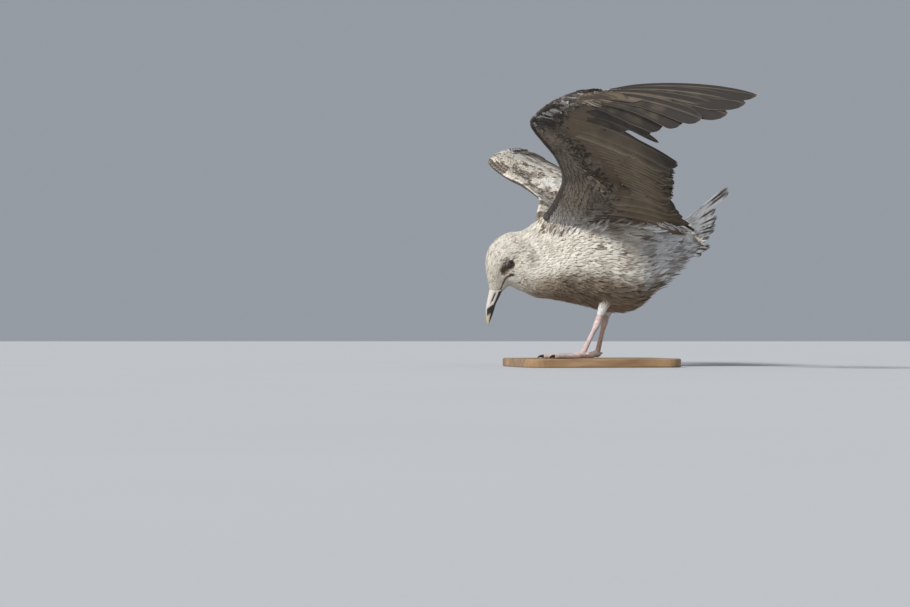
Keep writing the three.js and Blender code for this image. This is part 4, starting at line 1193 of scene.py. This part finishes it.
wingRow = dict(
    primaries=(6.3, 7, 7.6, 8, 8.45, 8.85, 9.3, 10, 11, 12), tertials=5, secondaries=18,
    rows=40, root=0.04, outer=0.5, inner=1.5, extra=(2.0, 3.5), outerMost=9.0, innerMost=24.0,
    # where along them the feathers start to close, by place
    closing=((6, 7, 8, 9.3, 10, 12), (0.86, 0.86, 0.84, 0.8, 0.72, 0.66)),
    lastOuter=4.0,                        # half width of the last primary's outer vane
    cleft=(6.9, 7.7, 0.66))               # the gap of a shed primary: between these places, beyond this chord
wingPlaces = np.concatenate([
    np.linspace(0.15, 1.7, wingRow["tertials"]), np.linspace(2.05, 5.85, wingRow["secondaries"]),
    wingRow["primaries"][:-1], [wingRow["primaries"][-1] - 0.12]])
shaftWide = 0.05
vaneAcross = np.array([-1, -0.93, -0.7, -0.4, -0.12, -0.035, 0, 0.06, 0.25, 0.6, 0.88, 1])


# Flight feathers as lenses: centre line and side direction, an inner and an outer half width
# that swell from the quill and close towards the tip as a circle does, a ridge of shaft, and
# the inner edge lower than the outer so that each lies under the next. Fray, in millimetres,
# draws the barbs' ends back at the tip, and splits are narrow nicks in the edges.
def flightBed(centre, sideways, normal, inner, outer, tilt, close, colours, under, bake, fray, shaft=1.0):
    count, rows = centre.shape[:2]
    s = np.linspace(0, 1, rows)[None, :, None]
    w = vaneAcross[None, None]
    swell = mix1(0.6, 1.0, smooth(s, 0, 0.2)) * (1 - 0.08 * s)
    round_ = np.sqrt(1 - np.clip((s - close) / (1.003 - close), 0, 1) ** 2.2)
    often = 0.008 * fray[:, None, None] * (fray[:, None, None] > 2)
    nick = (rng.random((count, rows, 2)) < often) * rng.uniform(0.2, 0.45, (count, rows, 2))
    nick = np.where(w < 0, nick[..., :1], nick[..., 1:]) * smooth(np.abs(w), 0.5, 1.0) * smooth(s, 0.3, 0.5)
    wobble = 0.035 * (rng.random((count, rows, 1)) - 0.5) * np.abs(w) ** 3
    x = np.where(w < 0, w * inner[..., None], w * outer[..., None]) * swell * round_ * (1 - nick + wobble)
    # barbs slant to the tip, so the edges run ahead of the shaft, but frayed at the end
    worn = fray[:, None, None] * rng.random((count, 1, len(vaneAcross))) ** 1.5
    ahead = 0.35 * np.abs(x) * (1 - smooth(s, 0.8, 1.0)) - worn * smooth(s, 0.72, 1.0)
    fore = unit(np.gradient(centre, axis=1))
    upper = centre[:, :, None] + sideways[:, :, None] * x[..., None] + fore[:, :, None] * ahead[..., None]
    ridge = hill(w, 0, shaftWide) * mix1(1.0, 0.35, s) * shaft
    rise = tilt * w + ridge - 0.10 * np.abs(x) * np.abs(w)
    upper = upper + normal[:, :, None] * rise[..., None]
    thick = (0.5 + 0 * x) + 2 * ridge
    order = np.arange(count)[:, None, None]
    vane = np.stack([s * 100 - 0.9 * np.abs(x), np.abs(x) + order * 60 + 2000 * (w > 0)], -1)
    s, w = np.broadcast_to(s, x.shape), np.broadcast_to(w, x.shape)
    patch = np.stack([bake[0] + (w + 1) / 2 * bake[1] + order * bake[2], 0.02 + 0.96 * s], -1)
    up = np.broadcast_to(normal[:, :, None], upper.shape)
    bed = lensBed(upper, up, thick, colours(s, w, x), vane, patch)
    low = colours(s, w, x) if under is None else under(s, w, x)
    size = len(bed["points"]) // count
    inside = low[:, 1:-1, 1:-1].reshape(count, -1, 3)
    shown = bed["colours"].reshape(count, size, 3)
    shown[:, -inside.shape[1]:] = inside
    bed["colours"] = shown.reshape(-1, 3)
    return bed


def wingFlights(side):
    count, rows = len(wingPlaces), wingRow["rows"]
    s = np.linspace(0, 1, rows)[None]
    place = wingPlaces[:, None]
    length = 1 - 0.05 * rng.random(count) * smooth(wingPlaces, 9, 6)
    length[wingRow["tertials"] + wingRow["secondaries"] + 1] = 1.0
    chord = wingRow["root"] + (length[:, None] - wingRow["root"]) * s
    grid = np.broadcast_to(place, chord.shape)
    centre = wingAt(grid, chord, side, 0)
    normal = unit(wingAt(grid, chord, side, 1) - wingAt(grid, chord, side, -1))
    further, nearer = np.minimum(grid + 0.05, wingSet["last"]), np.maximum(grid - 0.05, 0)
    away = wingAt(further, chord, side, 0) - wingAt(nearer, chord, side, 0)
    fore = unit(np.gradient(centre, axis=1))
    sideways = unit(away - fore * dot(away, fore) - normal * dot(away, normal))
    gaps = np.abs(dot(np.diff(centre, axis=0), sideways[1:]))[..., 0]
    before, after = np.concatenate([gaps[:1], gaps]), np.concatenate([gaps, gaps[-1:]])
    inner = np.minimum(before * wingRow["inner"] + wingRow["extra"][1], wingRow["innerMost"])
    inner = inner * (1 - 0.2 * smooth(place, 7, 8))
    outer = np.minimum(after * wingRow["outer"] + wingRow["extra"][0], wingRow["outerMost"])
    outer[-1] = wingRow["lastOuter"]
    low, high, share = wingRow["cleft"]
    past = smooth(chord, share - 0.1, share + 0.06)
    inner = np.where((place > low + 0.4) & (place < high), mix1(inner, 5.0, 0.9 * past), inner)
    outer = np.where((place > low) & (place < low + 0.4), mix1(outer, 2.5, past), outer)
    hand = smooth(wingPlaces, 6.4, 8)[:, None, None]
    worn = np.where(wingPlaces < 2, 2.0, np.where(wingPlaces < 8.2, 5.0, 1.2))

    patches = lambda s, x, size: cloud(np.stack([x + 40 * place[:, None], s * 130, 0 * s], -1), size)

    def colours(s, w, x):
        rim = smooth(np.abs(w), 0.85, 1.0)
        tips = smooth(s, 0.72, 0.95)
        mark = 0.55 + 0.35 * tips + 0.15 * (w > 0) - 0.5 * rim * (1 - hand) - 0.1 * rim
        base = mix(plumes["flightPale"] + 0 * s[..., None], plumes["flightDark"], np.clip(mark, 0, 1))
        chequers = 0.75 * smooth(patches(s, x, 7.0), 0.48, 0.56)
        chequers = mix(plumes["cream"] + 0 * base, plumes["brown"], chequers)
        base = mix(base, chequers, 0.85 * (side == right) * smooth(s, 0.68, 0.42))
        return mix(base, plumes["flightPale"], 0.4 * hill(w, 0, shaftWide))

    def under(s, w, x):
        blur = patches(s, x, 8.0) - 0.5
        tips = smooth(s, mix1(0.62, 0.72, hand), 0.97)
        mark = 0.56 + 0.38 * hand + 0.22 * blur + mix1(0.35, 0.45, hand) * tips
        mark = mark + 0.3 * smooth(w, 0.1, 0.5) * (1 - tips)
        mark = mark + 0.3 * smooth(np.abs(w), 0.75, 1.0) * hand
        mark = mark - 0.45 * smooth(np.abs(w), 0.82, 1.0) * (1 - hand)
        mark = mark + 0.5 * smooth(place[:, None], 11.5, 11.8) * smooth(w, 0.2, 0.8)
        tertial = smooth(place[:, None], 2.2, 1.6)
        pale = mix(plumes["flightPale"], plumes["sand"], tertial)
        base = mix(pale, plumes["flightDark"], np.clip(mark - 0.15 * tertial, 0, 1))
        return mix(base, plumes["quill"], 0.4 * hill(w, 0, shaftWide) * (1 - 0.6 * s))

    close = np.interp(wingPlaces, *wingRow["closing"])[:, None, None]
    tilt = (0.9 + 0.03 * inner)[..., None] * (1 - 0.5 * smooth(s, 0.8, 1))[..., None]
    bake = (0.005, 0.026, 0.0295)
    return flightBed(centre, sideways, normal, inner, outer, tilt, close, colours, under, bake, worn)


for side, sideName in ((left, "left"), (right, "right")):
    makeCoat(f"wing_coverts_upper_{sideName}", covertBeds(side, 1), wingPlume)
    makeCoat(f"wing_coverts_under_{sideName}", covertBeds(side, -1), wingPlume)
    makeCoat(f"wing_flights_{sideName}", [wingFlights(side)], flightVane,
             (f"wing_{sideName}_secondaries", f"wing_{sideName}_primaries"))

# ---- tail: a fan in its own pitched and rolled plane

tail = dict(root=(100, 0, 160), pitch=24.0, roll=41.0, inner=7.0, outer=5.0, rows=26, fray=8.0,
            angles=(27, 24, 15.5, 12, 3.5, -1, -9, -13, -22, -34, -37, -43),
            lengths=(127, 124, 96, 94, 95, 92, 94, 92, 88, 99, 96, 92))
pitch, roll = np.radians(tail["pitch"]), np.radians(tail["roll"])
tailAxis = np.array([np.cos(pitch), 0, np.sin(pitch)])
tailAcross = np.array([-np.sin(roll) * np.sin(pitch), -np.cos(roll), np.sin(roll) * np.cos(pitch)])
tailFace = np.cross(tailAxis, tailAcross)
tailFace = tailFace * np.sign(tailFace[2])
turns = np.radians(tail["angles"])[:, None, None]
spokes = tailAxis * np.cos(turns) + tailAcross * np.sin(turns)
run = np.linspace(0.12, 0.985, tail["rows"])[None, :, None] * np.array(tail["lengths"])[:, None, None]
order = np.arange(len(tail["angles"]))[:, None, None]
lift = 0.9 * np.cos(order * 2.1) - 1.6 * (run / 100) ** 2  # neighbours apart, tips bent down
tailCentre = outward(tail["root"], 1) + spokes * run + tailFace * lift
tailSide = tailAcross * np.cos(turns) - tailAxis * np.sin(turns) + 0 * tailCentre
tailInner, tailOuter = (np.full(tailCentre.shape[:2], tail[key]) for key in ("inner", "outer"))


def tailColours(s, w, x):  # white, barred, with a dark streak at the shaft and a dark end
    bars = cloud(np.stack([x * 1.4 + 30 * order, s * 110, 0 * s], -1), 7.0)
    streak = 1 - smooth(np.abs(w - 0.1), 0.15, 0.45)
    mark = 0.02 + 0.95 * smooth(s, 0.58, 0.78) * streak
    mark = mark + 1.4 * np.maximum(bars - 0.56, 0) * smooth(s, 0.1, 0.4)
    mark = mark + 0.5 * smooth(s, 0.86, 0.95) * (1 - streak)
    return mix(plumes["white"] + 0 * s[..., None], plumes["umber"], np.clip(mark, 0, 1))


tailFrays = np.full(len(tail["angles"]), tail["fray"])
tailBed = flightBed(tailCentre, tailSide, tailFace + 0 * tailCentre, tailInner, tailOuter, 0.7, 0.86,
                    tailColours, None, (0.01, 0.07, 0.08), tailFrays, 0.7)
makeCoat("tail_feathers", [tailBed], flightVane, ("tail",))

# ---- bill

bill = dict(
    culmen=((-143.4, 94.5), (-146.3, 81), (-148.2, 70), (-148.3, 59), (-147, 50.5), (-144.6, 45.3)),
    gape=((-127.4, 94), (-132.3, 82.6), (-136.6, 74), (-140.2, 64), (-142.8, 55.5), (-143.6, 49)),
    under=((-123.8, 96), (-129.9, 84.6), (-134.3, 75.6), (-137.2, 65.8), (-140.8, 55.5), (-143.4, 49.4)),
    half=(6.8, 6.2, 5.4, 4.4, 3.0, 1.2), nostril=(0.95, 0.5), nostrilSize=(0.62, 0.09), nostrilDeep=1.1,
    rings=96, around=28, last=5, endDraw=(0.78, 0.5, 0.2), endPast=(0.5, 0.9, 1.1),
    # ridge: the flesh with a painted highlight, for the culmen's lit top
    flesh=tint(198, 188, 176), ridge=tint(206, 198, 188), black=tint(26, 23, 22), tip=tint(188, 173, 138))


# Half of the bill: from the gape line to its outer edge, where the half width falls off as
# (1 - share ^ 2.4) ^ 0.6. The last rings draw in to a blunt point.
def billHalf(outer, skirt, slit):
    rings, last = bill["rings"], bill["last"]
    t = np.concatenate([np.linspace(-0.25, last, rings), [last] * 3])
    draw = np.concatenate([np.ones(rings), bill["endDraw"]])
    past = np.concatenate([np.zeros(rings), bill["endPast"]])
    edge, cut = splineAt(np.array(outer), t), splineAt(np.array(bill["gape"]), t)
    half = splineAt(bill["half"], t)
    share = np.sin(np.linspace(0, np.pi / 2, bill["around"]))[None]
    width = half[:, None] * (0.97 - 0.97 * share**2.4 + 0.02) ** 0.6
    along, up = t[:, None] - bill["nostril"][0], share - bill["nostril"][1] - 0.08 * (t[:, None] - 1)
    long, high = bill["nostrilSize"]
    groove = np.exp(-((along / long) ** 4) - (up / high) ** 2) * slit
    width = width - bill["nostrilDeep"] * groove
    flat = cut[:, None] + (edge - cut)[:, None] * (share[..., None] * (1 - skirt) + skirt)
    middle = flat.mean(1, keepdims=True)
    onward = unit(edge[-1] - edge[-3] + 0.4 * (cut[-1] - cut[-3]))
    flat = middle + (flat - middle) * draw[:, None, None] + past[:, None, None] * onward
    width = width * draw[:, None]
    rightSide = np.stack([flat[..., 0], width, flat[..., 1] + soles], -1)
    leftSide = rightSide[:, ::-1] * np.array([1, -1, 1])
    ring = np.concatenate([rightSide, leftSide], 1)
    ringShare = np.concatenate([share, share[:, ::-1]], 1) + 0 * t[:, None]
    grooveRing = np.concatenate([groove, groove[:, ::-1]], 1)
    return ring, t[:, None] + 0 * ringShare, ringShare, grooveRing


def makeBill(name, replaced, outer, skirt, slit, colour):
    rings, t, share, groove = billHalf(outer, skirt, slit)
    makeSolid(name, rings, colour(t, share, groove), hornCoat, replaced)


def upperBill(t, share, groove):  # black band and cutting edge, painted highlight along the ridge, horn-yellow tip with a dark edge, painted shade in the nostril
    band = smooth(t - 0.5 * share, 1.55, 1.85) * smooth(t, 3.35, 2.85) * smooth(share, 0.97, 0.84)
    cutting = smooth(share, 0.3, 0.16) * smooth(t, -0.1, 0.3)
    end = np.maximum(smooth(t, 4.6, 4.95), smooth(share, 0.25, 0.1) * (t > 3))
    # paler towards the culmen: painted highlight along the ridge
    base = mix(bill["flesh"] + 0 * t[..., None], bill["ridge"], smooth(share, 0.6, 0.95))
    base = mix(base, bill["tip"], smooth(t, 2.7, 3.2))
    # groove: the nostril's slit painted black, painted shade inside it
    black = np.maximum.reduce([band, cutting, end * 0.85, groove * 1.4])
    return mix(base, bill["black"], np.clip(black, 0, 1))


# Lower mandible: its flesh is a darker copy of the upper's, painted shade under the bill; black over most of
# it, partly its own dark band and partly painted shade; horn-yellow at the tip.
def lowerBill(t, share, groove):
    black = np.maximum(smooth(t, 0.9, 1.9), smooth(share, 0.45, 0.2)) * smooth(t, 4.95, 4.5)
    base = mix(bill["flesh"] * 0.75 + 0 * t[..., None], bill["tip"], smooth(t, 3.6, 4.4))
    return mix(base, bill["black"], np.clip(black, 0, 1))


makeBill("upper_mandible", "bill_upper", bill["culmen"], 0.012, 1.0, upperBill)
makeBill("lower_mandible", "bill_lower", bill["under"], 0.04, 0.0, lowerBill)

# ---- eyes: rings round the axis, iris and pupil painted by the angle from it, a bulging cornea

for side, sideName in ((left, "left"), (right, "right")):
    axis, east, north = eyeAxes(side)
    polar = np.linspace(0.02, np.pi - 0.02, eyeSet["rings"])[:, None]
    around = fullTurn(eyeSet["around"])[None]
    radius = eyeSet["radius"] * eyeSet["fit"] + eyeSet["cornea"] * hill(polar, 0, eyeSet["corneaSpread"])
    sideways = east * np.cos(around)[..., None] + north * np.sin(around)[..., None]
    rings = (radius * np.cos(polar))[..., None] * axis + (radius * np.sin(polar))[..., None] * sideways
    iris = mix(eyeSet["pupil"] + 0 * rings, eyeSet["iris"], smooth(polar + 0 * around, 0.36, 0.42))
    iris = mix(iris, eyeSet["white"], smooth(polar + 0 * around, 0.72, 0.8))
    makeSolid(f"eyeball_{sideName}", eyeCentre(side) + rings, iris, eyeGlass, f"eye_{sideName}")

# ---- claws: cones bent down to the floor

nail = dict(rings=18, around=14, overlap=1.5, length=10.5, radius=2.0, tip=0.22, squash=1.15,
            pale=tint(70, 58, 52), dark=tint(30, 26, 24))
for side, sideName in ((left, "left"), (right, "right")):
    for toe in toes:
        path, ahead = toePath(side, toe)
        t = np.linspace(0, 1, nail["rings"])[:, None]
        bend = alongZ * (0.9 * np.sin(2.4 * t) - 2.1 * t**2.2)
        line = path[-1] - ahead * nail["overlap"] + ahead * nail["length"] * t + bend
        line[:, 2] = np.maximum(line[:, 2], soles + 0.5)
        radii = nail["radius"] * (1 - t[:, 0]) ** 0.65 + nail["tip"]
        rings = tubeRings(line, radii, nail["around"], nearlyY, nail["squash"])
        rings[..., 2] = np.maximum(rings[..., 2], soles + 0.02)
        shade = mix(nail["pale"] + 0 * rings, nail["dark"], np.broadcast_to(t, rings.shape[:2]))
        makeSolid(f"nail_{sideName}_{toe}", rings, shade, hornCoat, f"claw_{sideName}_{toe}")
print("bill, eyes and claws")

# ---- base plate: the solid itself, in oiled oak

oak, oakShader = newMaterial("oiledOak", Roughness=0.5, Coat_Weight=0.15, Coat_Roughness=0.35)
oakPlace = objectPlace(oak)
boards = addNoise(oak, oakPlace, (9, 70, 70), Detail=6.0, Roughness=0.62)
pores = addNoise(oak, oakPlace, (60, 1500, 900), Detail=2.0)
figure = addNode(oak, "ShaderNodeValToRGB", Fac=boards)
oakTints = ((0.3, tint(120, 88, 58)), (0.72, tint(182, 148, 108)))
for stop, (place, colour) in zip(figure.color_ramp.elements, oakTints):
    stop.position, stop.color = place, (*colour, 1)
addGrain(oak, oakShader, figure.outputs["Color"], pores, 0.78, 1.15, (0.2, 0.0003))
nodes["stand_base"].material_slots[0].material = oak

# ---- floor, light and camera

stage = dict(floor=tint(196, 197, 198), air=tint(166, 172, 181), airStrength=0.8, sides=96,
             sunPower=3.4, sunFrom=(-0.66, -0.45, 0.6), sunAngle=14.0)
around = fullTurn(stage["sides"])
radii = np.array([1.0, 3, 8, 20, 60])[:, None]
disc = np.stack([radii * np.cos(around), radii * np.sin(around), 0 * radii * around], -1) / mm
index = np.arange(radii.size * around.size).reshape(radii.size, -1)
turned = np.roll(index, -1, 1)
quads = np.stack([index[:-1], index[1:], turned[1:], turned[:-1]], -1).reshape(-1, 4)
hub = np.stack([np.full(around.size, index.size), index[0], turned[0]], -1)
paper, paperShader = newMaterial("paper", Roughness=0.9)
paperTint = addNode(paper, "ShaderNodeRGB")
paperTint.outputs[0].default_value = (*stage["floor"], 1)
paperNoise = addNoise(paper, objectPlace(paper), (3, 3, 3), Detail=4.0)
addGrain(paper, paperShader, paperTint.outputs[0], paperNoise, 0.97, 1.03)
floor = buildPiece("floor", np.concatenate([disc.reshape(-1, 3), [[0, 0, 0]]]), quads, hub, materials=[paper])

world = bpy.data.worlds.new("air")
bpy.context.scene.world = world
world.use_nodes = True
air = world.node_tree.nodes["Background"].inputs
air["Color"].default_value, air["Strength"].default_value = (*stage["air"], 1), stage["airStrength"]

sun = bpy.data.lights.new("sun", "SUN")  # one broad soft lamp, high on the left in front
sun.energy, sun.angle = stage["sunPower"], np.radians(stage["sunAngle"])
sunHolder = bpy.data.objects.new("sun", sun)
bpy.context.scene.collection.objects.link(sunHolder)
sunHolder.location = stage["sunFrom"]
sunHolder.rotation_euler = sunHolder.location.to_track_quat("Z", "Y").to_euler()

view = dict(focal=79.12, sensor=36.0, place=(-0.67234, -2.72464, 0.0373), tilt=91.0496, turn=-10, far=200)
lens = bpy.data.cameras.new("camera")
lens.lens, lens.sensor_width, lens.clip_end = view["focal"], view["sensor"], view["far"]
camera = bpy.data.objects.new("camera", lens)
bpy.context.scene.collection.objects.link(camera)
camera.location = view["place"]
camera.rotation_euler = (np.radians(view["tilt"]), 0, np.radians(view["turn"]))
bpy.context.scene.camera = camera
bpy.context.scene.view_settings.view_transform = "Standard"

print("scene ready")
